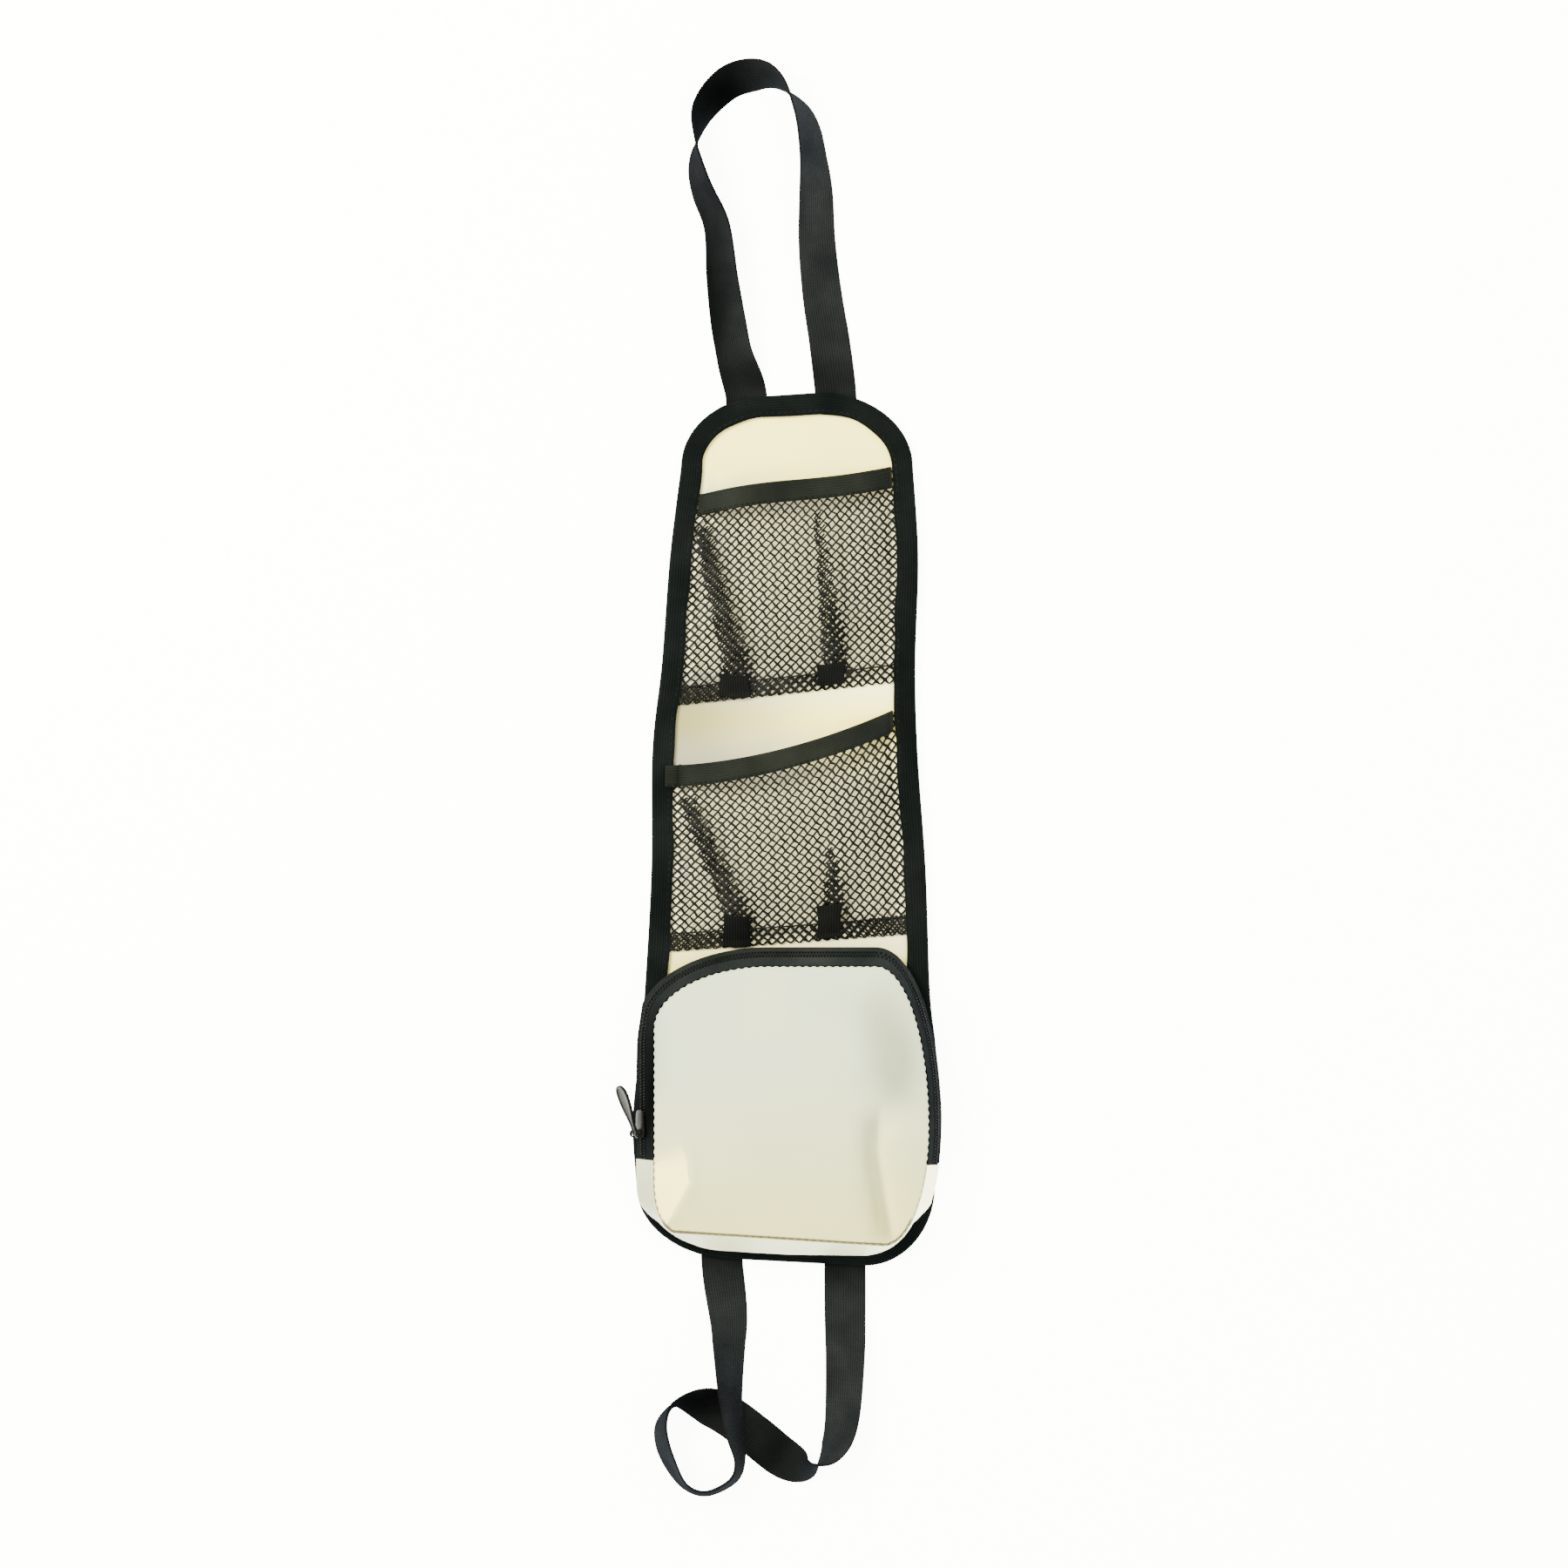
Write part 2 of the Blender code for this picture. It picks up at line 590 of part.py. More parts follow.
def build_teeth(name, path, side, collection, material):
    """Make one row of coil teeth as a ridged strip beside the parting line."""
    length = sum((b - a).length for a, b in zip(path, path[1:]))
    teeth = int(length / TOOTH_PITCH)
    even = resample(path, teeth * 2 + 1, closed=False)
    near = PARTING_GAP / 2
    far = near + TOOTH_WIDTH
    rows = []
    for i, (point, normal) in enumerate(zip(even, outward_normals(even, closed=False))):
        _, crest, seam = wall_frame(point, normal)
        up = (seam - crest).normalized()
        off = up.cross(Vector((-normal.y, normal.x, 0))).normalized()
        if off.z < 0:
            off.negate()
        centre = crest + up * ZIP_ABOVE_CREST
        half = (TOOTH_THICKNESS if i % 2 else TOOTH_VALLEY) / 2
        edge = near if i % 2 else near + TOOTH_STEP
        rows.append([
            centre + up * side * edge - off * half, centre + up * side * far - off * half,
            centre + up * side * far + off * half, centre + up * side * edge + off * half,
        ])
    surface, grid = skin(rows, wrap_columns=True)
    surface.faces.new(grid[0])
    surface.faces.new(grid[-1])
    return add_object(name, mesh_from_bmesh(name, surface), collection, material)


def build_front(collection, material):
    """Make the pouch's front: a sheet that domes slightly inside its seam."""
    seam = resample(front_loop(), FRONT_COUNT, closed=True)
    centre = sum(seam, Vector((0, 0))) / len(seam)
    rows = []
    for share in FRONT_RING_SHARES:
        level = FRONT_LEVEL + FRONT_DOME * (1 - share ** 2)
        rows.append([(*(centre + (point - centre) * share), level) for point in seam])
    surface, grid = skin(rows, wrap_columns=True)
    surface.faces.new(grid[-1])
    return add_sheet("pouch_front", surface, FRONT_THICKNESS, collection, material, offset=1.0)


def zip_frame():
    """Return the slider's place and its axes: along the zip, up the wall and out of the wall."""
    point = Vector((FRONT_LEFT, ZIP_LEFT_END + SLIDER_FROM_END))
    _, crest, seam = wall_frame(point, Vector((-1.0, 0.0)))
    up = (seam - crest).normalized()
    along = Vector((0.0, 1.0, 0.0))
    out = along.cross(up).normalized()
    if out.z < 0:
        out.negate()
    return crest + up * ZIP_ABOVE_CREST, along, up, out


def frame_matrix(origin, along, out):
    """Return the matrix of a frame with its X along, its Z outwards and its Y down the wall."""
    matrix = Matrix((along, out.cross(along), out)).transposed().to_4x4()
    matrix.translation = origin
    return matrix


def extruded_outline(points, low, high):
    """Return a bmesh prism over a flat outline."""
    prism = bmesh.new()
    base = prism.faces.new([prism.verts.new((x, y, low)) for x, y in points])
    lifted = bmesh.ops.extrude_face_region(prism, geom=[base])
    risen = [item for item in lifted["geom"] if isinstance(item, bmesh.types.BMVert)]
    bmesh.ops.translate(prism, verts=risen, vec=(0, 0, high - low))
    return prism


def slider_plate_outline():
    """Return the shield outline of a slider plate, its nose at -X."""
    half = SLIDER_LENGTH / 2
    right = [(half * x, SLIDER_TAIL_WIDTH / 2 * y) for x, y in PLATE_TAIL_SHARES]
    right += [(half * x, SLIDER_NOSE_WIDTH / 2 * y) for x, y in PLATE_NOSE_SHARES]
    return right + [(x, -y) for x, y in reversed(right)]


def add_cutter(name, source, collection, matrix):
    """Link a solid that another object's Boolean uses."""
    made = bpy.data.objects.new(name, mesh_from_bmesh(name, source))
    made.matrix_world = matrix
    made.hide_render = True
    made.display_type = "WIRE"
    collection.objects.link(made)
    return made


def join_solid(target, other, operation):
    """Add an exact Boolean to an object."""
    modifier = target.modifiers.new(other.name, "BOOLEAN")
    modifier.solver = "EXACT"
    modifier.operation = operation
    modifier.object = other


def slider_levels():
    """Return the inner and outer faces of the slider's upper plate, above the wall's middle."""
    inner = TOOTH_THICKNESS / 2 + SLIDER_ABOVE_TEETH
    return inner, inner + SLIDER_PLATE


def build_slider(collection, cutters, material):
    """Make the slider: two shield plates joined by a web in the parting gap, with two lugs."""
    origin, along, _, out = zip_frame()
    matrix = frame_matrix(origin, along, out)
    inner, outer = slider_levels()
    outline = slider_plate_outline()
    plate = extruded_outline(outline, inner, outer)
    slider = add_object("zip_slider", mesh_from_bmesh("zip_slider", plate), collection, material)
    slider.matrix_world = matrix
    lower = add_cutter("slider_lower_plate", extruded_outline(outline, -outer, -inner), cutters, matrix)
    join_solid(slider, lower, "UNION")
    web_half = PARTING_GAP / 2 - CLEARANCE
    start = -SLIDER_LENGTH / 2 + SLIDER_WEB_FROM_NOSE
    web_outline = [(start, -web_half), (start + SLIDER_WEB_LENGTH, -web_half),
                   (start + SLIDER_WEB_LENGTH, web_half), (start, web_half)]
    sunk = SLIDER_PLATE / 2
    web = add_cutter("slider_web", extruded_outline(web_outline, -inner - sunk, inner + sunk), cutters, matrix)
    join_solid(slider, web, "UNION")
    lug_inner = PULLER_NECK / 2 + CLEARANCE
    lug_half = PIN_RADIUS + CLEARANCE + LUG_WALL
    for side in (-1, 1):
        near, far = side * lug_inner, side * (lug_inner + SLIDER_LUG_THICKNESS)
        lug_outline = [(-PIVOT_FROM_MIDDLE - lug_half, near), (-PIVOT_FROM_MIDDLE + lug_half, near),
                       (-PIVOT_FROM_MIDDLE + lug_half, far), (-PIVOT_FROM_MIDDLE - lug_half, far)]
        top = outer + PIVOT_RISE + lug_half
        lug = add_cutter(f"slider_lug_{side + 1}", extruded_outline(lug_outline, outer - sunk, top), cutters, matrix)
        join_solid(slider, lug, "UNION")
    bore = bmesh.new()
    bmesh.ops.create_cone(bore, cap_ends=True, segments=16, radius1=PIN_RADIUS + CLEARANCE,
                          radius2=PIN_RADIUS + CLEARANCE, depth=SLIDER_NOSE_WIDTH * 2)
    bmesh.ops.rotate(bore, verts=bore.verts, matrix=Matrix.Rotation(math.radians(90), 3, "X"))
    bmesh.ops.translate(bore, verts=bore.verts, vec=(-PIVOT_FROM_MIDDLE, 0, outer + PIVOT_RISE))
    hole = add_cutter("slider_bore", bore, cutters, matrix)
    join_solid(slider, hole, "DIFFERENCE")
    return slider


def build_puller(collection, cutters, material):
    """Make the leaf-shaped puller, its origin on the pin that turns in the slider's lugs."""
    origin, along, _, out = zip_frame()
    _, outer = slider_levels()
    pivot = origin - along * PIVOT_FROM_MIDDLE + out * (outer + PIVOT_RISE)
    angle = math.radians(PULLER_REST_ANGLE)
    leaf_along = along * math.cos(angle) + out * math.sin(angle)
    leaf_out = out * math.cos(angle) - along * math.sin(angle)
    matrix = frame_matrix(pivot, leaf_along, leaf_out)
    neck, wide = PULLER_NECK / 2, PULLER_WIDTH / 2
    edge = [(-PULLER_HEEL, neck), (PULLER_NECK_LENGTH, neck)]
    for share, width in LEAF_SHARES:
        edge.append((PULLER_LENGTH * share, max(neck, wide * width)))
    outline = edge + [(PULLER_LENGTH, 0.0)] + [(x, -y) for x, y in reversed(edge)]
    half = PULLER_THICKNESS / 2
    leaf = extruded_outline(outline, -half, half)
    puller = add_object("zip_puller", mesh_from_bmesh("zip_puller", leaf), collection, material)
    puller.matrix_world = matrix
    pin = bmesh.new()
    reach = (PULLER_NECK / 2 + CLEARANCE + SLIDER_LUG_THICKNESS) * 2
    bmesh.ops.create_cone(pin, cap_ends=True, segments=16, radius1=PIN_RADIUS, radius2=PIN_RADIUS, depth=reach)
    bmesh.ops.rotate(pin, verts=pin.verts, matrix=Matrix.Rotation(math.radians(90), 3, "X"))
    join_solid(puller, add_cutter("puller_pin", pin, cutters, matrix), "UNION")
    return puller


def build_strap(name, route, collection, material):
    """Make an elastic strap along its route."""
    points = smooth_route(route, STEPS_BETWEEN_STATIONS)
    rows = []
    for i, (x, y, roll, lift) in enumerate(points):
        before = points[max(i - 1, 0)]
        after = points[min(i + 1, len(points) - 1)]
        along = Vector((after[0] - before[0], after[1] - before[1], 0)).normalized()
        inward = Vector((along.y, -along.x, 0))
        turn = math.radians(max(roll, 0.0))
        width = inward * math.cos(turn) + Vector((0, 0, math.sin(turn)))
        level = STRAP_WIDTH / 2 * abs(math.sin(turn)) + STRAP_THICKNESS / 2 + max(lift, 0.0)
        centre = Vector((x, y, level))
        rows.append([centre - width * STRAP_WIDTH / 2, centre + width * STRAP_WIDTH / 2])
    surface, _ = skin(rows)
    return add_sheet(name, surface, STRAP_THICKNESS, collection, material)


def main():
    """Build the organizer."""
    clear_scene()
    parts = make_collection("car_seat_side_organizer")
    cutters = make_collection("cutters")
    cream = (0.88, 0.84, 0.70)
    black = (0.018, 0.019, 0.018)
    metal = (0.12, 0.12, 0.12)
    build_panel(parts, make_material("panel_leather", cream, 0.5))
    build_binding(parts, make_material("binding_tape", black, 0.8))
    upper = Pocket(UPPER_MOUTH, UPPER_BOTTOM, UPPER_MOUTH_SAG, UPPER_FULLNESS)
    lower = Pocket(LOWER_MOUTH, LOWER_BOTTOM, LOWER_MOUTH_SAG, LOWER_FULLNESS)
    for name, pocket in (("upper_pocket", upper), ("lower_pocket", lower)):
        build_net(f"{name}_net", pocket, parts, make_material(f"{name}_net_thread", black, 0.8))
        build_hem(f"{name}_hem", pocket, parts, make_material(f"{name}_hem_tape", black, 0.8))
    zip_path, gusset_path = seam_parts()
    build_zip_tapes(zip_path, parts, make_material("tape_back", black, 0.8), make_material("tape_front", black, 0.8))
    build_gusset(gusset_path, parts, make_material("gusset_leather", cream, 0.5))
    build_teeth("zip_teeth_back", zip_path, -1, parts, make_material("teeth_back", black, 0.3))
    build_teeth("zip_teeth_front", zip_path, 1, parts, make_material("teeth_front", black, 0.3))
    build_front(parts, make_material("front_leather", cream, 0.5))
    build_slider(parts, cutters, make_material("slider_metal", metal, 0.3, 1.0))
    build_puller(parts, cutters, make_material("puller_metal", metal, 0.3, 1.0))
    build_strap("top_strap", TOP_STRAP_ROUTE, parts, make_material("top_elastic", black, 0.7))
    build_strap("bottom_strap", BOTTOM_STRAP_ROUTE, parts, make_material("bottom_elastic", black, 0.7))


main()
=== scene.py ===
"""Looks of the car seat side organizer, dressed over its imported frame.

The organizer lies on its back: X runs across it, +Y towards its top strap and +Z out of its front.
"""
import logging
import math
from dataclasses import dataclass, field
from enum import Enum
from typing import Callable, Dict, List, Sequence, Tuple

import bmesh
import bpy
from mathutils import Matrix, Vector
from mathutils.kdtree import KDTree


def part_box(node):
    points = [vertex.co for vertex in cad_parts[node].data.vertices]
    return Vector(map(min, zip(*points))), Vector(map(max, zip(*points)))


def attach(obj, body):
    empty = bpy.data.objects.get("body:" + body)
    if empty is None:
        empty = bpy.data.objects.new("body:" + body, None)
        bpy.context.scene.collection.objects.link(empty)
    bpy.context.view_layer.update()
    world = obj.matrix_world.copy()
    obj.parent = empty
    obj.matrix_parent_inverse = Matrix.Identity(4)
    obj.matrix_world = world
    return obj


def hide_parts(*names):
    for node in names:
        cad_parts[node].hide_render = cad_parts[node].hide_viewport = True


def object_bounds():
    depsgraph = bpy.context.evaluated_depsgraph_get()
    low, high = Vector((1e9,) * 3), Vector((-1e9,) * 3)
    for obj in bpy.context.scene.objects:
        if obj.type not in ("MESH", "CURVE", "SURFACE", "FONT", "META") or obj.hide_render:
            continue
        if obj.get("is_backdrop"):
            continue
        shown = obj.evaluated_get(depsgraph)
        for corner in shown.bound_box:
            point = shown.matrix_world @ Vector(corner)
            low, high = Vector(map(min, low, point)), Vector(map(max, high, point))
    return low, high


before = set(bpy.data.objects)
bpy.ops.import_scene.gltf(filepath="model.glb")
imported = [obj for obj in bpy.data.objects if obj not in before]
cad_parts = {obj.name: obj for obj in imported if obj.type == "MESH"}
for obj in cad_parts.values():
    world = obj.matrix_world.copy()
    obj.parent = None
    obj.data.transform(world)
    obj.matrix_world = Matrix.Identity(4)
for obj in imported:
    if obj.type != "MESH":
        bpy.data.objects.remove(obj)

CAD_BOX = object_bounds()
LOG = logging.getLogger("organizer")
Piece = bpy.types.Object
Material = bpy.types.Material
Socket = bpy.types.NodeSocket
Place = Callable[[float, float], Vector]
Pair = Tuple[float, float]
Stops = Sequence[Tuple[float, Sequence[float]]]
UP = Vector((0, 0, 1))
QUARTER_TURN = Matrix.Rotation(math.radians(90), 4, "X")

PIXEL = 0.00042
PHOTO_ORIGIN = (905.0, 952.0)
PHOTO_MIDDLE = (900.0, 900.0)
PHOTO_SIZE = 1800


class Body(Enum):
    """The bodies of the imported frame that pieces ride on."""

    ORGANIZER = "organizer"
    SLIDER = "slider"
    PULLER = "puller"


class Slot(Enum):
    """The record's material slots."""

    LEATHER = "cream_leather"
    TAPE = "black_tape"
    NET = "black_net"
    ZIP_TAPE = "zip_tape"
    TEETH = "nylon_teeth"
    METAL = "dark_metal"
    ELASTIC = "black_elastic"


def from_photo(pixel: Pair) -> Vector:
    """Return the place on the panel of a column and row of the 1800 by 1800 photograph."""
    return Vector(((pixel[0] - PHOTO_ORIGIN[0]) * PIXEL, (PHOTO_ORIGIN[1] - pixel[1]) * PIXEL))


def clamp(value: float) -> float:
    """Return a value held between 0 and 1."""
    return min(max(value, 0.0), 1.0)


def smooth_step(value: float) -> float:
    """Return an eased share between 0 and 1."""
    held = clamp(value)
    return held * held * (3.0 - 2.0 * held)


def mix(first: float, last: float, share: float) -> float:
    """Return the value at a share of the way from the first to the last."""
    return first + (last - first) * share


def bell(value: float) -> float:
    """Return the height of a bell curve, 1 at nothing and fading on both sides."""
    return math.exp(-value ** 2)


def smooth_route(stations: Sequence[Sequence[float]], steps: int) -> List[Vector]:
    """Return points on a Catmull-Rom curve through stations.

    Args:
        stations: points of any one length.
        steps: points for each span.
    Returns:
        The curve's points, ends included.
    """
    keys = [Vector(station) for station in stations]
    points = []
    for i in range(len(keys) - 1):
        before = keys[max(i - 1, 0)]
        after = keys[min(i + 2, len(keys) - 1)]
        for j in range(steps):
            t = j / steps
            linear = (keys[i + 1] - before) * 0.5
            square = before - keys[i] * 2.5 + keys[i + 1] * 2.0 - after * 0.5
            cubic = (after - before) * 0.5 + (keys[i] - keys[i + 1]) * 1.5
            points.append(keys[i] + linear * t + square * t ** 2 + cubic * t ** 3)
    points.append(keys[-1])
    return points


def resample(points: Sequence[Vector], count: int, closed: bool) -> List[Vector]:
    """Return evenly spaced points along a polyline.

    Args:
        points: the polyline.
        count: how many points to return.
        closed: whether the polyline comes back to its start.
    Returns:
        The new points.
    """
    chain = list(points) + [points[0]] if closed else list(points)
    reach = [0.0]
    for a, b in zip(chain, chain[1:]):
        reach.append(reach[-1] + (b - a).length)
    spans = count if closed else count - 1
    placed = []
    k = 0
    for i in range(count):
        target = reach[-1] * i / spans
        while k < len(reach) - 2 and reach[k + 1] < target:
            k += 1
        length = reach[k + 1] - reach[k]
        placed.append(chain[k].lerp(chain[k + 1], (target - reach[k]) / length if length else 0.0))
    return placed


def path_length(points: Sequence[Vector]) -> float:
    """Return the length of a polyline."""
    return sum((b - a).length for a, b in zip(points, points[1:]))


def right_normals(points: Sequence[Vector], closed: bool) -> List[Vector]:
    """Return the unit normals on the right of a flat path.

    Args:
        points: the path.
        closed: whether the path comes back to its start.
    Returns:
        One normal for each point, which points outwards on an anticlockwise loop.
    """
    last = len(points) - 1
    normals = []
    for i in range(len(points)):
        before = points[i - 1] if closed or i else points[0]
        after = points[(i + 1) % len(points)] if closed or i < last else points[last]
        along = (after - before).normalized()
        normals.append(Vector((along.y, -along.x)))
    return normals


def corner_arc(corner: Pair, radii: Pair, start: float, count: int = 30) -> List[Vector]:
    """Return a quarter ellipse that rounds a corner.

    Args:
        corner: where the two straight edges would meet.
        radii: the ellipse's radii along x and y.
        start: the arc's first angle in degrees.
        count: how many spans the arc has.
    Returns:
        The arc's points.
    """
    middle = math.radians(start + 45.0)
    centre_x = corner[0] - math.copysign(radii[0], math.cos(middle))
    centre_y = corner[1] - math.copysign(radii[1], math.sin(middle))
    points = []
    for i in range(count + 1):
        angle = math.radians(start + 90.0 * i / count)
        points.append(Vector((centre_x + radii[0] * math.cos(angle), centre_y + radii[1] * math.sin(angle))))
    return points


@dataclass(frozen=True)
class Levels:
    """Heights of the layers above the surface that the organizer lies on, read from the frame."""

    face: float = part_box("back_panel")[1].z
    binding_low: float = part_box("edge_binding")[0].z
    binding_top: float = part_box("edge_binding")[1].z
    front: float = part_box("pouch_front")[0].z
    gap: float = 0.0003
    cloth: float = 0.0006
    wall: float = 0.0008

    @property
    def net(self) -> float:
        """The middle of a net where it lies on the panel."""
        return self.face + self.gap + self.cloth / 2

    @property
    def seam(self) -> float:
        """The top of the pouch's wall."""
        return self.front - self.gap - self.wall / 2


LEVELS = Levels()


@dataclass
class Outline:
    """The outer edge of the bound panel."""

    stations: Sequence[Tuple[float, float, float]] = (
        (-0.1720, -0.0731, 0.0706),
        (-0.1400, -0.0750, 0.0739),
        (-0.1040, -0.0714, 0.0710),
        (-0.0780, -0.0692, 0.0682),
        (-0.0200, -0.0660, 0.0662),
        (0.0380, -0.0655, 0.0622),
        (0.0806, -0.0609, 0.0612),
        (0.1310, -0.0571, 0.0626),
        (0.1747, -0.0517, 0.0600),
    )
    top_right: Pair = (0.0453, 0.0357)
    top_left: Pair = (0.0412, 0.0340)
    bottom_left: Pair = (0.0480, 0.0350)
    bottom_right: Pair = (0.0337, 0.0382)
    count: int = 360
    points: List[Vector] = field(init=False)
    normals: List[Vector] = field(init=False)

    def __post_init__(self) -> None:
        """Trace the edge anticlockwise from its right foot."""
        right = smooth_route([(x_right, y) for y, _, x_right in self.stations], 10)
        left = smooth_route([(x_left, y) for y, x_left, _ in reversed(self.stations)], 10)
        foot, shoulder = self.stations[0][0], self.stations[-1][0]
        path = list(right)
        path += corner_arc((right[-1].x, shoulder + self.top_right[1]), self.top_right, 0)[1:]
        path += corner_arc((left[0].x, shoulder + self.top_left[1]), self.top_left, 90)
        path += left[1:]
        path += corner_arc((left[-1].x, foot - self.bottom_left[1]), self.bottom_left, 180)[1:]
        path += corner_arc((right[0].x, foot - self.bottom_right[1]), self.bottom_right, 270)[:-1]
        self.points = resample(path, self.count, closed=True)
        self.normals = right_normals(self.points, closed=True)

    @property
    def length(self) -> float:
        """The length of the whole edge."""
        return path_length(self.points + self.points[:1])

    def at(self, share: float, inset: float) -> Vector:
        """Return a point on the edge, moved inwards.

        Args:
            share: how far round the edge the point is, from 0 to 1.
            inset: how far in from the edge it lies.
        Returns:
            The flat point.
        """
        place = (share % 1.0) * self.count
        i = int(place) % self.count
        j = (i + 1) % self.count
        part = place - int(place)
        point = self.points[i].lerp(self.points[j], part)
        return point - self.normals[i].lerp(self.normals[j], part).normalized() * inset

    def edge_at(self, y: float, side: int, inset: float) -> float:
        """Return the x of the edge's left (-1) or right (1) side at a height on the panel.

        Args:
            y: the height on the panel.
            side: which side is asked for.
            inset: how far in from the edge.
        Returns:
            The x in metres.
        """
        found = []
        for i, start in enumerate(self.points):
            end = self.points[(i + 1) % self.count]
            if (start.y - y) * (end.y - y) <= 0 and abs(start.y - end.y) > 1e-9:
                found.append(start.x + (end.x - start.x) * (y - start.y) / (end.y - start.y))
        if not found:
            return 0.0
        return max(found) - inset if side > 0 else min(found) + inset

    def hold_inside(self, point: Vector, inset: float) -> Vector:
        """Move a point inwards until it lies at least the inset away from the edge.

        Args:
            point: the flat point.
            inset: the least distance from the edge.
        Returns:
            The point, moved if it had to be.
        """
        near = min(range(self.count), key=lambda i: (self.points[i] - point).length_squared)
        depth = (self.points[near] - point).dot(self.normals[near])
        return point - self.normals[near] * (inset - depth) if depth < inset else point


OUTLINE = Outline()


def deselect_all() -> None:
    """Leave nothing selected."""
    bpy.ops.object.select_all(action="DESELECT")


def take(piece: Piece) -> None:
    """Make one piece the only selected and active object.

    Args:
        piece: the piece.
    """
    deselect_all()
    piece.select_set(True)
    bpy.context.view_layer.objects.active = piece


def in_edit(piece: Piece, work: Callable[[], None]) -> None:
    """Run mesh operators on the whole of a piece in edit mode.

    Args:
        piece: the piece to work on.
        work: what to do while all of its mesh is selected.
    """
    take(piece)
    bpy.ops.object.mode_set(mode="EDIT")
    bpy.ops.mesh.select_all(action="SELECT")
    work()
    bpy.ops.object.mode_set(mode="OBJECT")


def apply_modifier(piece: Piece, kind: str, **values: object) -> None:
    """Add a modifier with these values and apply it.

    Args:
        piece: the piece that it works on.
        kind: the modifier's type.
        values: the modifier's settings.
    """
    take(piece)
    modifier = piece.modifiers.new(kind.lower(), kind)
    for name, value in values.items():
        setattr(modifier, name, value)
    bpy.ops.object.modifier_apply(modifier=modifier.name)


def primitive(add: Callable[..., object], name: str, **settings: object) -> Piece:
    """Add a primitive mesh at the origin.

    Args:
        add: the mesh operator that makes it.
        name: its name.
        settings: the operator's settings.
    Returns:
        The new piece, selected and active.
    """
    deselect_all()
    add(location=(0, 0, 0), **settings)
    piece = bpy.context.active_object
    piece.name = name
    return piece


def warped_grid(name: str, columns: int, rows: int, place: Place, size: Pair, wrap: bool = False) -> Piece:
    """Add a grid and lay each of its points where the cloth has it.

    Args:
        name: the piece's name.
        columns: spans across.
        rows: spans along.
        place: the point of the cloth at two shares from 0 to 1.
        size: the cloth's flat width and length, which its UV map is drawn in.
        wrap: whether the last row meets the first.
    Returns:
        The open surface.
    """
    piece = primitive(bpy.ops.mesh.primitive_grid_add, name, x_subdivisions=columns, y_subdivisions=rows, size=1.0)
    piece.data.name = name
    for vertex in piece.data.vertices:
        vertex.co = place(vertex.co.x + 0.5, vertex.co.y + 0.5)
    for loop in piece.data.uv_layers.active.data:
        loop.uv = (loop.uv[0] * size[0], loop.uv[1] * size[1])
    if wrap:
        in_edit(piece, lambda: bpy.ops.mesh.remove_doubles(threshold=1e-6))
    return piece


def face_out(piece: Piece, angle: float) -> Piece:
    """Turn a piece's faces outward and shade it smooth.

    Args:
        piece: the closed piece.
        angle: the sharpest edge that is shaded smooth, in degrees.
    Returns:
        The same piece.
    """
    in_edit(piece, lambda: bpy.ops.mesh.normals_make_consistent(inside=False))
    take(piece)
    bpy.ops.object.shade_smooth_by_angle(angle=math.radians(angle))
    return piece


def round_edges(piece: Piece, radius: float, segments: int = 2, angle: float = 60.0) -> None:
    """Round the edges of a piece that turn by more than an angle in degrees."""
    limit = math.radians(angle)
    apply_modifier(piece, "BEVEL", width=radius, segments=segments, limit_method="ANGLE", angle_limit=limit)


def thicken(piece: Piece, thickness: float, rounding: float = 0.0) -> Piece:
    """Give a cloth its thickness and smooth shading.

    Args:
        piece: the open surface.
        thickness: the cloth's thickness.
        rounding: the radius of its cut edges.
    Returns:
        The same piece.
    """
    apply_modifier(piece, "SOLIDIFY", thickness=thickness, offset=0.0, use_even_offset=True)
    if rounding:
        round_edges(piece, rounding)
    return face_out(piece, 50)


def dress(piece: Piece, material: Material, slot: Slot, *nodes: str, body: Body = Body.ORGANIZER) -> None:
    """Give a piece its finish and its body, and hide the nodes that it stands for.

    Args:
        piece: the finished piece.
        material: its finish.
        slot: the record's material slot, not used.
        nodes: the CAD nodes that it replaces.
        body: the body that it rides on.
    """
    piece.data.materials.clear()
    piece.data.materials.append(material)
    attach(piece, body.value)
    if nodes:
        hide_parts(*nodes)
    LOG.info("%s: %d faces on %s", piece.name, len(piece.data.polygons), body.value)


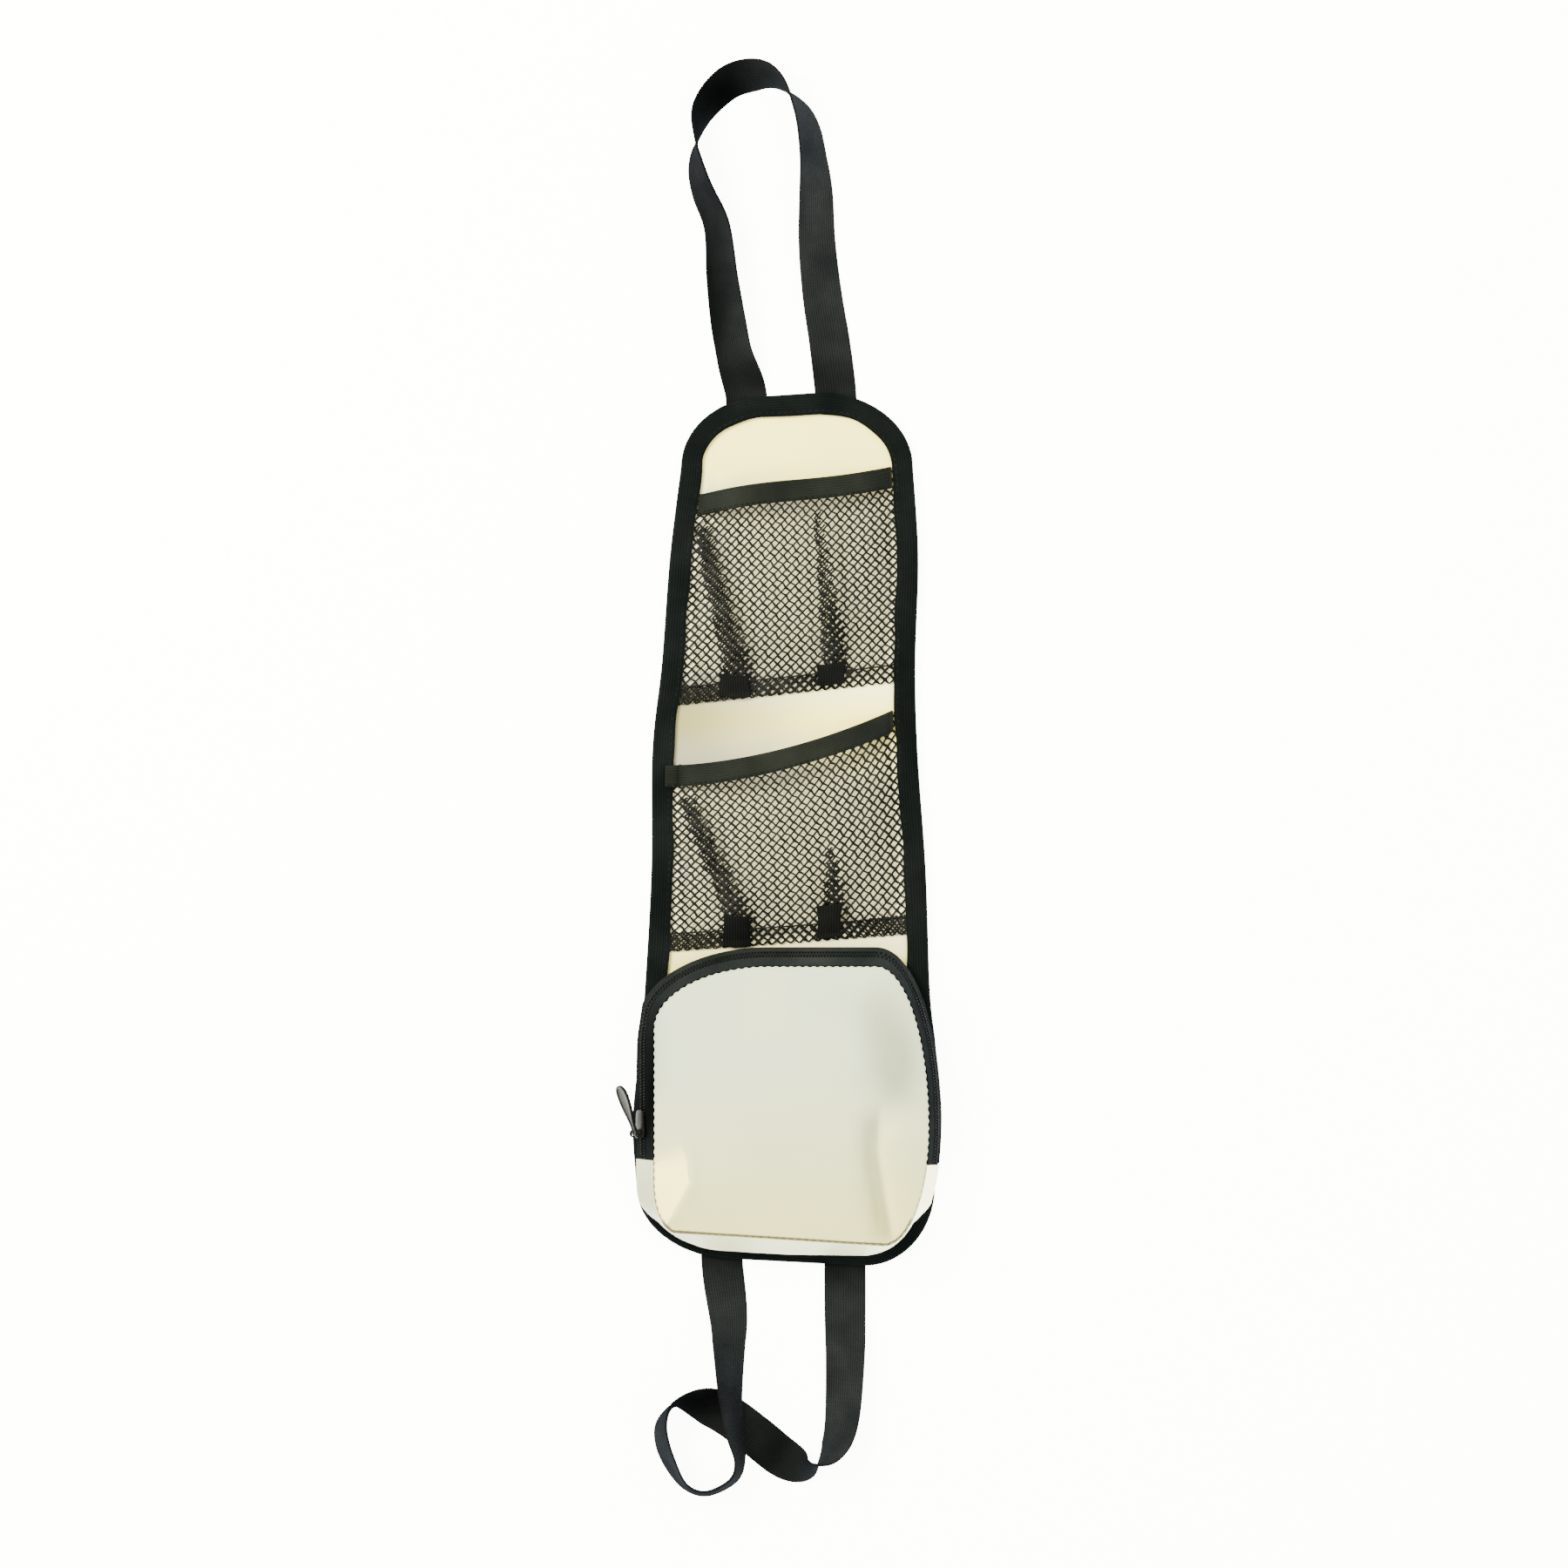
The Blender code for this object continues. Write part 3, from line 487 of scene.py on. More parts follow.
class NodeBench:
    """A material's node tree, with short ways to add and join nodes."""

    def __init__(self, name: str) -> None:
        """Start a Principled material.

        Args:
            name: the material's name.
        """
        self.material = bpy.data.materials.new(name)
        self.material.use_nodes = True
        self.tree = self.material.node_tree
        self.shader = self.tree.nodes["Principled BSDF"]
        self.coords = self.tree.nodes.new("ShaderNodeTexCoord")

    def node(self, kind: str, inputs: Dict[object, object], **settings: object) -> bpy.types.Node:
        """Add a node, set its values and join its inputs.

        Args:
            kind: the node's type.
            inputs: a value or an output socket for each input, by name or number.
            settings: the node's own settings.
        Returns:
            The node.
        """
        made = self.tree.nodes.new(kind)
        for name, value in settings.items():
            setattr(made, name, value)
        for name, value in inputs.items():
            socket = made.inputs[name]
            if isinstance(value, Socket):
                self.tree.links.new(value, socket)
            else:
                socket.default_value = value
        return made

    def math(self, operation: str, first: object, second: object = 0.0) -> Socket:
        """Return the result of a Math node."""
        return self.node("ShaderNodeMath", {0: first, 1: second}, operation=operation).outputs[0]

    def noise(self, scale: float, detail: float = 3.0) -> Socket:
        """Return noise over the object, with its scale in cells a metre."""
        inputs = {"Vector": self.coords.outputs["Object"], "Scale": scale, "Detail": detail}
        return self.node("ShaderNodeTexNoise", inputs).outputs["Fac"]

    def ramp(self, factor: Socket, stops: Stops) -> Socket:
        """Return a colour ramp over a factor.

        Args:
            factor: what runs over the ramp.
            stops: the place and colour of each stop.
        Returns:
            The ramp's colour.
        """
        made = self.node("ShaderNodeValToRGB", {"Fac": factor})
        elements = made.color_ramp.elements
        while len(elements) < len(stops):
            elements.new(0.5)
        for element, (place, colour) in zip(elements, stops):
            element.position = place
            element.color = (*colour, 1.0)
        return made.outputs["Color"]

    def join(self, socket: str, value: Socket) -> None:
        """Join a value to one of the shader's inputs."""
        self.tree.links.new(value, self.shader.inputs[socket])

    def bump(self, height: Socket, distance: float, strength: float = 1.0) -> None:
        """Join a height to the shader's normal."""
        made = self.node("ShaderNodeBump", {"Height": height, "Distance": distance, "Strength": strength})
        self.join("Normal", made.outputs["Normal"])

    def set(self, **values: float) -> None:
        """Set the shader's own sockets, named with underscores for spaces."""
        for name, value in values.items():
            self.shader.inputs[name.replace("_", " ")].default_value = value


@dataclass(frozen=True)
class LeatherFinish:
    """Fine-grained artificial leather, whose colour carries painted light and shade from each piece's tone attribute,
    and which is tinted along the panel.

    The stops are a colour at each tone, from painted shade at the low end to painted light at the high end, and the
    tints a factor at each height on the panel, low to high.
    """

    name: str
    stops: Stops
    tints: Stops = ((-0.21, (1.0, 1.0, 1.0)), (0.21, (1.0, 1.0, 1.0)))
    roughness: float = 0.46

    def material(self) -> Material:
        """Return the finish as a material.

        Returns:
            The new material.
        """
        bench = NodeBench(self.name)
        # The tone attribute paints light and shade into the leather's colour.
        tone = bench.node("ShaderNodeAttribute", {}, attribute_name="tone").outputs["Fac"]
        cloud = bench.math("MULTIPLY", bench.math("SUBTRACT", bench.noise(26.0, 5.0), 0.5), 0.16)
        colour = bench.ramp(bench.math("ADD", tone, cloud), self.stops)
        split = bench.node("ShaderNodeSeparateXYZ", {"Vector": bench.coords.outputs["Object"]})
        low, high = self.tints[0][0], self.tints[-1][0]
        reach = bench.node("ShaderNodeMapRange", {"Value": split.outputs["Y"], "From Min": low, "From Max": high})
        spread = [((y - low) / (high - low), factor) for y, factor in self.tints]
        tint = bench.ramp(reach.outputs["Result"], spread)
        mixed = bench.node("ShaderNodeMix", {0: 1.0, 6: colour, 7: tint}, data_type="RGBA", blend_type="MULTIPLY")
        bench.join("Base Color", mixed.outputs[2])
        grain = bench.node("ShaderNodeTexVoronoi", {"Vector": bench.coords.outputs["Object"], "Scale": 1500.0},
                           feature="DISTANCE_TO_EDGE")
        pores = bench.math("MINIMUM", grain.outputs["Distance"], 0.18)
        height = bench.math("ADD", pores, bench.math("MULTIPLY", bench.noise(240.0, 5.0), 0.35))
        bench.bump(height, 0.00022, 0.5)
        rough = bench.math("ADD", bench.math("MULTIPLY", bench.noise(60.0), 0.14), self.roughness - 0.07)
        bench.join("Roughness", rough)
        bench.set(Specular_IOR_Level=0.22, Coat_Weight=0.02, Coat_Roughness=0.35)
        return bench.material


@dataclass(frozen=True)
class WovenFinish:
    """Woven tape or webbing, whose threads follow the piece's own UV map in metres.

    A piece's shade attribute paints shade on it where it is more than nothing, and painted light where it is less;
    the weave's crests carry a painted highlight.
    """

    name: str
    colour: Sequence[float]
    worn: Sequence[float]
    rib_pitch: float
    pick_pitch: float
    depth: float
    roughness: float = 0.85

    def material(self) -> Material:
        """Return the finish as a material.

        Returns:
            The new material.
        """
        bench = NodeBench(self.name)
        split = bench.node("ShaderNodeSeparateXYZ", {"Vector": bench.coords.outputs["UV"]})
        turn = 2.0 * math.pi
        across = bench.math("SINE", bench.math("MULTIPLY", split.outputs["X"], turn / self.rib_pitch))
        along = bench.math("SINE", bench.math("MULTIPLY", split.outputs["Y"], turn / self.pick_pitch))
        weave = bench.math("ADD", across, bench.math("MULTIPLY", bench.math("MULTIPLY", across, along), 0.6))
        fuzz = bench.math("ADD", weave, bench.math("MULTIPLY", bench.noise(1800.0, 2.0), 0.9))
        bench.bump(fuzz, self.depth, 0.8)
        # Painted highlight on the weave's crests, over the cloth's random tone towards its paler worn colour.
        lit = bench.math("ADD", bench.math("MULTIPLY", weave, 0.16), bench.noise(45.0, 4.0))
        cloth = bench.ramp(lit, [(0.30, self.colour), (0.78, self.worn)])
        shade = bench.node("ShaderNodeAttribute", {}, attribute_name="shade").outputs["Fac"]
        scale = bench.math("SUBTRACT", 1.0, shade)
        kept = bench.node("ShaderNodeVectorMath", {0: cloth, "Scale": scale}, operation="SCALE")
        bench.join("Base Color", kept.outputs["Vector"])
        bench.set(Roughness=self.roughness, Specular_IOR_Level=0.0)
        return bench.material


@dataclass(frozen=True)
class ThreadFinish:
    """Twisted thread, as in nets and stitches."""

    name: str
    colour: Sequence[float]
    worn: Sequence[float]

    def material(self) -> Material:
        """Return the finish as a material.

        Returns:
            The new material.
        """
        bench = NodeBench(self.name)
        bench.join("Base Color", bench.ramp(bench.noise(90.0, 3.0), [(0.35, self.colour), (0.75, self.worn)]))
        bench.bump(bench.noise(3500.0, 2.0), 0.00012, 0.7)
        bench.set(Roughness=0.7, Sheen_Weight=0.002, Specular_IOR_Level=0.03)
        return bench.material


@dataclass(frozen=True)
class SmoothFinish:
    """Moulded nylon or plated metal, faintly rubbed."""

    name: str
    colour: Sequence[float]
    worn: Sequence[float]
    roughness: float
    metallic: float
    specular: float

    def material(self) -> Material:
        """Return the finish as a material.

        Returns:
            The new material.
        """
        bench = NodeBench(self.name)
        bench.join("Base Color", bench.ramp(bench.noise(220.0, 4.0), [(0.40, self.colour), (0.80, self.worn)]))
        rubbed = bench.math("ADD", bench.math("MULTIPLY", bench.noise(520.0, 5.0), 0.16), self.roughness - 0.08)
        bench.join("Roughness", rubbed)
        bench.bump(bench.noise(900.0, 3.0), 0.00003, 0.5)
        bench.set(Metallic=self.metallic, Specular_IOR_Level=self.specular)
        return bench.material


PLAIN_TINT = (1.0, 1.0, 1.0)
# The panel's tint under the nets is a painted shade tint, for the panel in the nets' shade.
NET_SHADE_TINT = (0.98, 1.04, 2.10)
PANEL_TINTS = ((-0.065, PLAIN_TINT), (-0.050, NET_SHADE_TINT), (0.028, NET_SHADE_TINT), (0.050, PLAIN_TINT),
               (0.056, PLAIN_TINT), (0.070, NET_SHADE_TINT), (0.158, NET_SHADE_TINT), (0.172, PLAIN_TINT))
FRONT_TINTS = ((-0.185, (1.13, 0.99, 0.62)), (-0.115, PLAIN_TINT))


def finish(kind: Callable[..., object], *values: object) -> Material:
    """Return a field that holds the material of a finish."""
    return field(default_factory=lambda: kind(*values).material())


@dataclass
class Finishes:
    """Every finish on the organizer."""

    # The leathers' stops run from painted shade at a low tone to painted light at a high tone.
    panel: Material = finish(
        LeatherFinish, "panel_leather",
        ((0.0, (0.19, 0.183, 0.100)), (0.5, (0.55, 0.52, 0.255)), (0.9, (1.0, 0.94, 0.325))), PANEL_TINTS)
    front: Material = finish(
        LeatherFinish, "front_leather",
        ((0.0, (0.07, 0.065, 0.055)), (0.05, (0.24, 0.27, 0.25)), (0.45, (0.45, 0.515, 0.480)),
         (0.62, (0.515, 0.56, 0.485)), (0.95, (0.98, 0.95, 0.66))), FRONT_TINTS)
    gusset: Material = finish(
        LeatherFinish, "gusset_leather",
        ((0.1, (0.13, 0.13, 0.070)), (0.5, (0.225, 0.235, 0.145)), (0.72, (0.54, 0.575, 0.41)),
         (0.92, (0.80, 0.80, 0.54))))
    binding: Material = finish(
        WovenFinish, "binding_tape", (0.0017, 0.0026, 0.0034), (0.0050, 0.0064, 0.0080), 0.0011, 0.0011, 0.00006)
    hem: Material = finish(
        WovenFinish, "hem_tape", (0.0050, 0.0062, 0.0068), (0.0115, 0.0132, 0.0140), 0.0011, 0.0011, 0.00006)
    zip_tape: Material = finish(
        WovenFinish, "zip_tape_weave", (0.0042, 0.0054, 0.0068), (0.0098, 0.0116, 0.0140), 0.0009, 0.0007, 0.00005)
    elastic: Material = finish(
        WovenFinish, "elastic_webbing", (0.0048, 0.0058, 0.0082), (0.0118, 0.0136, 0.0172), 0.0012, 0.0010, 0.00010)
    net: Material = finish(ThreadFinish, "net_thread", (0.0030, 0.0034, 0.0046), (0.0100, 0.0108, 0.0140))
    tuck: Material = finish(
        WovenFinish, "folded_net", (0.0022, 0.0026, 0.0034), (0.0062, 0.0068, 0.0082), 0.0012, 0.0012, 0.00010)
    black_thread: Material = finish(
        ThreadFinish, "black_sewing_thread", (0.0020, 0.0028, 0.0036), (0.0075, 0.0088, 0.0105))
    teeth: Material = finish(
        SmoothFinish, "nylon_coil", (0.0014, 0.0018, 0.0024), (0.0042, 0.0050, 0.0062), 0.50, 0.0, 0.01)
    metal: Material = finish(
        SmoothFinish, "plated_metal", (0.0030, 0.0035, 0.0045), (0.0085, 0.0095, 0.0120), 0.30, 0.02, 0.02)


@dataclass
class Part:
    """A sub-assembly of the organizer, dressed in its finishes."""

    finishes: Finishes


def paint(piece: Piece, value: Callable[[Vector], float], name: str = "tone") -> None:
    """Give a piece an attribute that its finish reads.

    Args:
        piece: the piece.
        value: the attribute's value at a place on the panel.
        name: tone, painted light and shade from 0 in hollows to 1 on lit crests, or shade, painted shade from 0 for
            none to 1 for black.
    """
    attribute = piece.data.attributes.new(name, "FLOAT", "POINT")
    for vertex, entry in zip(piece.data.vertices, attribute.data):
        entry.value = value(vertex.co.xy)


def painted_light_oval(spot: Vector, pixel: Pair, radii: Pair) -> float:
    """Return how far a place lies inside a soft oval of painted light and shade of the photograph, from 0 outside to
    1 in its middle.
    """
    gap = spot - from_photo(pixel)
    return math.exp(-(gap.x / radii[0] / PIXEL) ** 2 - (gap.y / radii[1] / PIXEL) ** 2)


# Painted shade on the black cloth: an oval's centre and radii in pixels and the share of light it takes; a share less
# than nothing paints light.
CLOTH_SHADES = (
    ((812, 330), (42, 190), 0.78), ((830, 112), (56, 52), 0.86), ((798, 1606), (46, 26), 0.75),
    ((893, 1660), (48, 46), 0.70), ((900, 1446), (140, 30), 0.45), ((900, 436), (110, 24), 0.50),
    ((750, 1245), (32, 120), 0.76), ((925, 1098), (110, 26), -0.60), ((1052, 1240), (26, 90), 0.40),
)


def cloth_shade(spot: Vector) -> float:
    """Return how much darker the black cloth is at a place on the panel.

    Args:
        spot: the place on the panel.
    Returns:
        The share of its light that it loses, less than nothing where it is brighter.
    """
    kept = 1.0
    for pixel, radii, share in CLOTH_SHADES:
        kept *= 1.0 - share * painted_light_oval(spot, pixel, radii)
    return 1.0 - kept


def axes(x: Vector, y: Vector, z: Vector, origin: Vector) -> Matrix:
    """Return a frame.

    Args:
        x, y, z: its axes.
        origin: its origin.
    Returns:
        The frame.
    """
    turn = Matrix((x, y, z)).transposed().to_4x4()
    turn.translation = origin
    return turn


def beads(name: str, size: Sequence[float], segments: int, rings: int, frames: Sequence[Matrix]) -> Piece:
    """Model one rounded bead and set a copy of it in each frame.

    Args:
        name: the piece's name.
        size: the bead's length, width and height.
        segments: its faces round.
        rings: its faces along.
        frames: where the copies go.
    Returns:
        All the copies as one piece.
    """
    one = primitive(bpy.ops.mesh.primitive_uv_sphere_add, "bead", segments=segments, ring_count=rings, radius=0.5)
    in_edit(one, lambda: bpy.ops.transform.resize(value=size))
    mould = bmesh.new()
    mould.from_mesh(one.data)
    row = bmesh.new()
    for turn in frames:
        made = {vertex: row.verts.new(turn @ vertex.co) for vertex in mould.verts}
        for face in mould.faces:
            row.faces.new([made[vertex] for vertex in face.verts]).smooth = True
    mould.free()
    bpy.data.objects.remove(one, do_unlink=True)
    return mesh_piece(name, row)


def stitch_row(name: str, path: Sequence[Vector], pitch: float, length: float, width: float) -> Piece:
    """Sew a row of stitches along a path on a face that looks up.

    Args:
        name: the row's name.
        path: the points that the row runs through.
        pitch: the distance from stitch to stitch.
        length: how long a stitch is.
        width: how wide its thread is.
    Returns:
        The row as one piece.
    """
    count = max(int(path_length(path) / pitch), 2)
    spots = resample(path, count * 2 + 1, closed=False)
    frames = []
    for i in range(1, count * 2, 2):
        along = (spots[i + 1] - spots[i - 1]).normalized()
        up = (UP - along * UP.dot(along)).normalized()
        frames.append(axes(along, up.cross(along), up, spots[i]))
    return beads(name, (length, width, width * 0.8), 8, 6, frames)


def mesh_piece(name: str, source: bmesh.types.BMesh) -> Piece:
    """Turn a bmesh into a piece at the origin.

    Args:
        name: the piece's name.
        source: the bmesh, which is freed.
    Returns:
        The piece.
    """
    mesh = bpy.data.meshes.new(name)
    source.to_mesh(mesh)
    source.free()
    piece = bpy.data.objects.new(name, mesh)
    bpy.context.scene.collection.objects.link(piece)
    return piece


@dataclass
class Panel(Part):
    """The laminated panel: a pad whose flat edge the binding holds."""

    binding_width: float = 0.0105
    binding_cloth: float = 0.0006
    edge_ease: float = 0.0009
    rounding: float = 0.0006
    chamfer: float = 0.0003
    rings: int = 22
    steps: int = 320
    flat: Pair = (0.15, 0.42)

    def section(self) -> List[Tuple[float, float, float]]:
        """Return the section from the middle of the back to the middle of the face.

        Returns:
            For each ring the inset from the edge, the level and the share of the way to the middle.
        """
        pad = self.binding_width + 2 * LEVELS.gap
        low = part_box("back_panel")[0].z
        shelf = LEVELS.binding_low + self.binding_cloth + LEVELS.gap
        edge = self.binding_cloth + self.edge_ease
        rows = [(pad + self.rounding, low, 1.0 - i / 6) for i in range(6)]
        rows += [(pad + self.rounding, low, 0.0), (pad, low + self.rounding, 0.0), (pad, shelf, 0.0)]
        rows += [(edge, shelf, 0.0), (edge, LEVELS.face - self.chamfer, 0.0)]
        rows += [(edge + self.chamfer, LEVELS.face, i / (self.rings - 1)) for i in range(self.rings)]
        return rows

    def tone(self, spot: Vector) -> float:
        """Return the panel's tone: painted shade under the pockets and to the left between them.

        Args:
            spot: the place on the panel.
        Returns:
            The tone.
        """
        column = spot.x / PIXEL + PHOTO_ORIGIN[0]
        between = smooth_step((spot.y - 0.020) / 0.012) * smooth_step((0.078 - spot.y) / 0.010)
        under = smooth_step((0.170 - spot.y) / 0.006) * (1.0 - between)
        side = smooth_step((column - 765.0) / 235.0)
        return 0.86 - between * (0.78 - 0.84 * side) - under * 0.20

    def build(self) -> None:
        """Model the panel and dress it."""
        section = self.section()
        middle = Vector((0.0, 0.0))

        def place(u: float, v: float) -> Vector:
            """Return the point of one ring at a share of the way round."""
            inset, level, inwards = section[round(u * (len(section) - 1))]
            return Vector((*OUTLINE.at(v, inset).lerp(middle, inwards), level))

        panel = warped_grid("panel_body", len(section) - 1, self.steps, place, self.flat, wrap=True)
        face_out(panel, 40)
        paint(panel, self.tone)
        dress(panel, self.finishes.panel, Slot.LEATHER, "back_panel")


@dataclass
class Binding(Part):
    """The tape that folds round the panel's edge."""

    width: float = 0.0105
    cloth: float = 0.0006
    round_steps: int = 8
    ripple: float = 0.00045
    bulge: float = 0.00025
    stitch_inset: float = 0.0086
    stitch_lift: float = 0.0002
    stitch: Tuple[float, float, float] = (0.0030, 0.0024, 0.0006)
    steps: int = 720

    def wave(self, share: float) -> float:
        """Return how far the tape's edge wanders at a share of the way round, from -1 to 1."""
        turn = 2 * math.pi * share
        return 0.5 * math.sin(23 * turn) + 0.3 * math.sin(41 * turn + 1.0) + 0.2 * math.sin(7 * turn + 2.0)

    def section(self) -> List[Pair]:
        """Return the U section as insets from the edge and levels, from under the panel to over it.

        Returns:
            The inset and level of each of the section's points.
        """
        half = self.cloth / 2
        low = LEVELS.binding_low + half
        top = LEVELS.binding_top - half
        radius = (top - low) / 2
        rows = [(self.width - (self.width - half - radius) * i / 4, low) for i in range(4)]
        for i in range(self.round_steps + 1):
            angle = math.pi * i / self.round_steps
            rows.append((half + radius - radius * math.sin(angle), low + radius - radius * math.cos(angle)))
        rows += [(half + radius + (self.width - half - radius) * i / 6, top) for i in range(1, 7)]
        return rows

    def build(self) -> None:
        """Model the binding and its stitches, and dress them."""
        section = self.section()
        last, flap = len(section) - 1, 4 + self.round_steps

        def place(u: float, v: float) -> Vector:
            """Return the point of the tape at shares across and round.

            Args:
                u: the share across its section.
                v: the share round the panel.
            Returns:
                The point of the tape's middle surface.
            """
            k = round(u * last)
            inset, level = section[k]
            free = max((k - flap) / (last - flap), 0.0)
            bulge = math.sin(math.pi * free) * self.bulge * (1.0 + self.wave(v + 0.3))
            return Vector((*OUTLINE.at(v, inset + self.ripple * self.wave(v) * free), level + bulge))

        across = path_length([Vector(point) for point in section])
        tape = warped_grid("binding_tape", last, self.steps, place, (across, OUTLINE.length), wrap=True)
        thicken(tape, self.cloth)
        shares = [i / self.steps for i in range(self.steps + 1)]
        level = LEVELS.binding_top + self.stitch_lift
        row = [Vector((*OUTLINE.at(s, self.stitch_inset + self.ripple * self.wave(s)), level)) for s in shares]
        sewn = stitch_row("binding_stitches", row, *self.stitch)
        dress(sewn, self.finishes.black_thread, Slot.TAPE)
        OUTLINE.length
        dress(tape, self.finishes.binding, Slot.TAPE, "edge_binding")


@dataclass
class Pocket(Part):
    """A net pocket: u runs from its left side to its right, v from its mouth to its bottom seam.

    Over_binding says whether its hem's left end lies on the panel's binding.
    """

    name: str
    mouth: Pair
    bottom: Pair
    sag: float
    fullness: float
    squares: Sequence[Tuple[Pair, Pair]]
    wedges: Sequence[Tuple[Pair, Pair, float, float]]
    wave: float
    over_binding: bool
    tuck: float = 0.0060
    margin: float = 0.004
    side_steps: int = 120
    side_border: float = 0.060
    band: float = 0.0090
    pleat_height: float = 0.0022
    pleat_width: float = 0.050
    pleats: Pair = (0.27, 0.70)
    hem_width: float = 0.0100
    hem_cloth: float = 0.0006
    hem_gap: float = 0.00045
    hem_ends: Pair = (0.046, 0.954)
    hem_end_on_binding: float = 0.004
    hem_lift: float = 0.0009
    hem_stitch: Tuple[float, float, float] = (0.0028, 0.0022, 0.0006)
    stitch_lift: float = 0.00045
    layer_lift: float = 0.0006
    cord: float = 0.0004
    tuck_lift: float = 0.0013
    tuck_cloth: float = 0.0014
    tuck_swell: float = 0.0005
    half_cell: float = 0.00215
    thread: float = 0.00045
    thread_width: float = 0.00090
    low: float = field(init=False)
    high: float = field(init=False)
    sides: List[Pair] = field(init=False)

    def __post_init__(self) -> None:
        """Measure the panel's sides over the pocket's height."""
        self.low, self.high = self.bottom[0] - self.margin, self.mouth[1] + self.margin
        heights = [mix(self.low, self.high, i / self.side_steps) for i in range(self.side_steps + 1)]
        self.sides = [(OUTLINE.edge_at(y, -1, self.tuck), OUTLINE.edge_at(y, 1, self.tuck)) for y in heights]

    def side_x(self, y: float) -> Pair:
        """Return the x of the net's left and right sides at a height on the panel.

        Args:
            y: the height.
        Returns:
            Both sides.
        """
        place = clamp((y - self.low) / (self.high - self.low)) * self.side_steps
        i = min(int(place), self.side_steps - 1)
        return tuple(mix(a, b, place - i) for a, b in zip(self.sides[i], self.sides[i + 1]))

    def heights(self, u: float) -> Pair:
        """Return the mouth's and the seam's height on the panel at u."""
        mouth = mix(*self.mouth, clamp(u) ** self.sag) + self.wave * math.sin(2.0 * math.pi * u)
        return mouth, mix(*self.bottom, u)

    def rise(self, u: float, v: float) -> float:
        """Return how far the net stands off its seams.

        Args:
            u: the share across.
            v: the share down.
        Returns:
            The height.
        """
        mouth, bottom = self.heights(u)
        across = clamp((u - self.side_border) / (1 - 2 * self.side_border))
        down = clamp(v / (1 - self.band / (mouth - bottom) / 2))
        body = (1 - abs(2 * across - 1) ** 3) * (1 - down ** 3)
        folds = 0.0
        for place in self.pleats:
            folds += bell((across - place) / self.pleat_width) * math.sin(math.pi * down ** 2)
        return self.fullness * body + self.pleat_height * folds

    def point(self, u: float, v: float, off: float = 0.0) -> Vector:
        """Return the point of the net at u and v, moved off it along its normal.

        Args:
            u: the share across from the left side.
            v: the share down from the mouth.
            off: how far above the net's middle surface.
        Returns:
            The point.
        """
        mouth, bottom = self.heights(u)
        y = mix(mouth, bottom, v)
        found = Vector((mix(*self.side_x(y), u), y, LEVELS.net + self.rise(u, v)))
        if off:
            found += self.normal(u, max(v, 0.0)) * off
        return found

    def normal(self, u: float, v: float) -> Vector:
        """Return the net's upward normal at u and v.

        Args:
            u: the share across.
            v: the share down.
        Returns:
            The unit normal.
        """
        step = 0.004
        across = self.point(u + step, v) - self.point(u - step, v)
        down = self.point(u, v - step) - self.point(u, v + step)
        return across.cross(down).normalized()

    def share_of(self, spot: Vector) -> Pair:
        """Return the u and v of a place on the panel under the net.

        Args:
            spot: the place on the panel.
        Returns:
            The shares across and down.
        """
        left, right = self.side_x(spot.y)
        u = (spot.x - left) / (right - left)
        mouth, bottom = self.heights(u)
        return u, (mouth - spot.y) / (mouth - bottom)

    def lattice(self, name: str, u_range: Pair, v_range: Pair, off: float, shift: Pair = (0.0, 0.0),
                keep: Callable[[float, float], bool] = lambda u, v: True) -> Piece:
        """Knit a patch of net: small diamonds where threads cross, and a thread between each two.

        Args:
            name: the patch's name.
            u_range: where it starts and ends across.
            v_range: where it starts and ends down.
            off: how far it lies above the net's middle surface.
            shift: how far its threads are moved from the first patch's, in half cells.
            keep: whether a crossing at u and v is part of the patch.
        Returns:
            The patch as thin threads.
        """
        centre_u, centre_v = sum(u_range) / 2, sum(v_range) / 2
        left, right = self.side_x(self.point(centre_u, centre_v).y)
        mouth, bottom = self.heights(centre_u)
        columns = max(round((right - left) * (u_range[1] - u_range[0]) / self.half_cell), 2)
        rows = max(round((mouth - bottom) * (v_range[1] - v_range[0]) / self.half_cell), 2)
        arm = self.thread_width / math.sqrt(2) / self.half_cell
        knit = bmesh.new()
        made: Dict[Pair, bmesh.types.BMVert] = {}

        def vertex(i: float, j: float) -> bmesh.types.BMVert:
            """Return the vertex at a place in the lattice.

            Args:
                i: the column.
                j: the row.
            Returns:
                The vertex, new or shared.
            """
            key = (round(i, 3), round(j, 3))
            if key not in made:
                wander = 0.09 * math.sin(i * 2.1 + j * 1.3) + 0.07 * math.sin(i * 0.7 - j * 2.9)
                u = mix(*u_range, clamp((i + shift[0] + wander) / columns))
                v = mix(*v_range, clamp((j + shift[1] - wander) / rows))
                made[key] = knit.verts.new(self.point(u, v, off))
            return made[key]

        for i in range(columns + 1):
            for j in range(rows + 1):
                if (i + j) % 2 == 0 or not keep(mix(*u_range, i / columns), mix(*v_range, j / rows)):
                    continue
                knit.faces.new([vertex(i + arm, j), vertex(i, j + arm), vertex(i - arm, j), vertex(i, j - arm)])
                for step in (-1, 1):
                    if i < columns and 0 <= j + step <= rows:
                        near = vertex(i, j + arm * step)
                        far = vertex(i + 1, j + step - arm * step)
                        knit.faces.new((vertex(i + arm, j), far, vertex(i + 1 - arm, j + step), near))
        bmesh.ops.dissolve_degenerate(knit, dist=1e-6, edges=knit.edges[:])
        patch = mesh_piece(name, knit)
        apply_modifier(patch, "SOLIDIFY", thickness=self.thread, offset=0.0)
        return face_out(patch, 100)

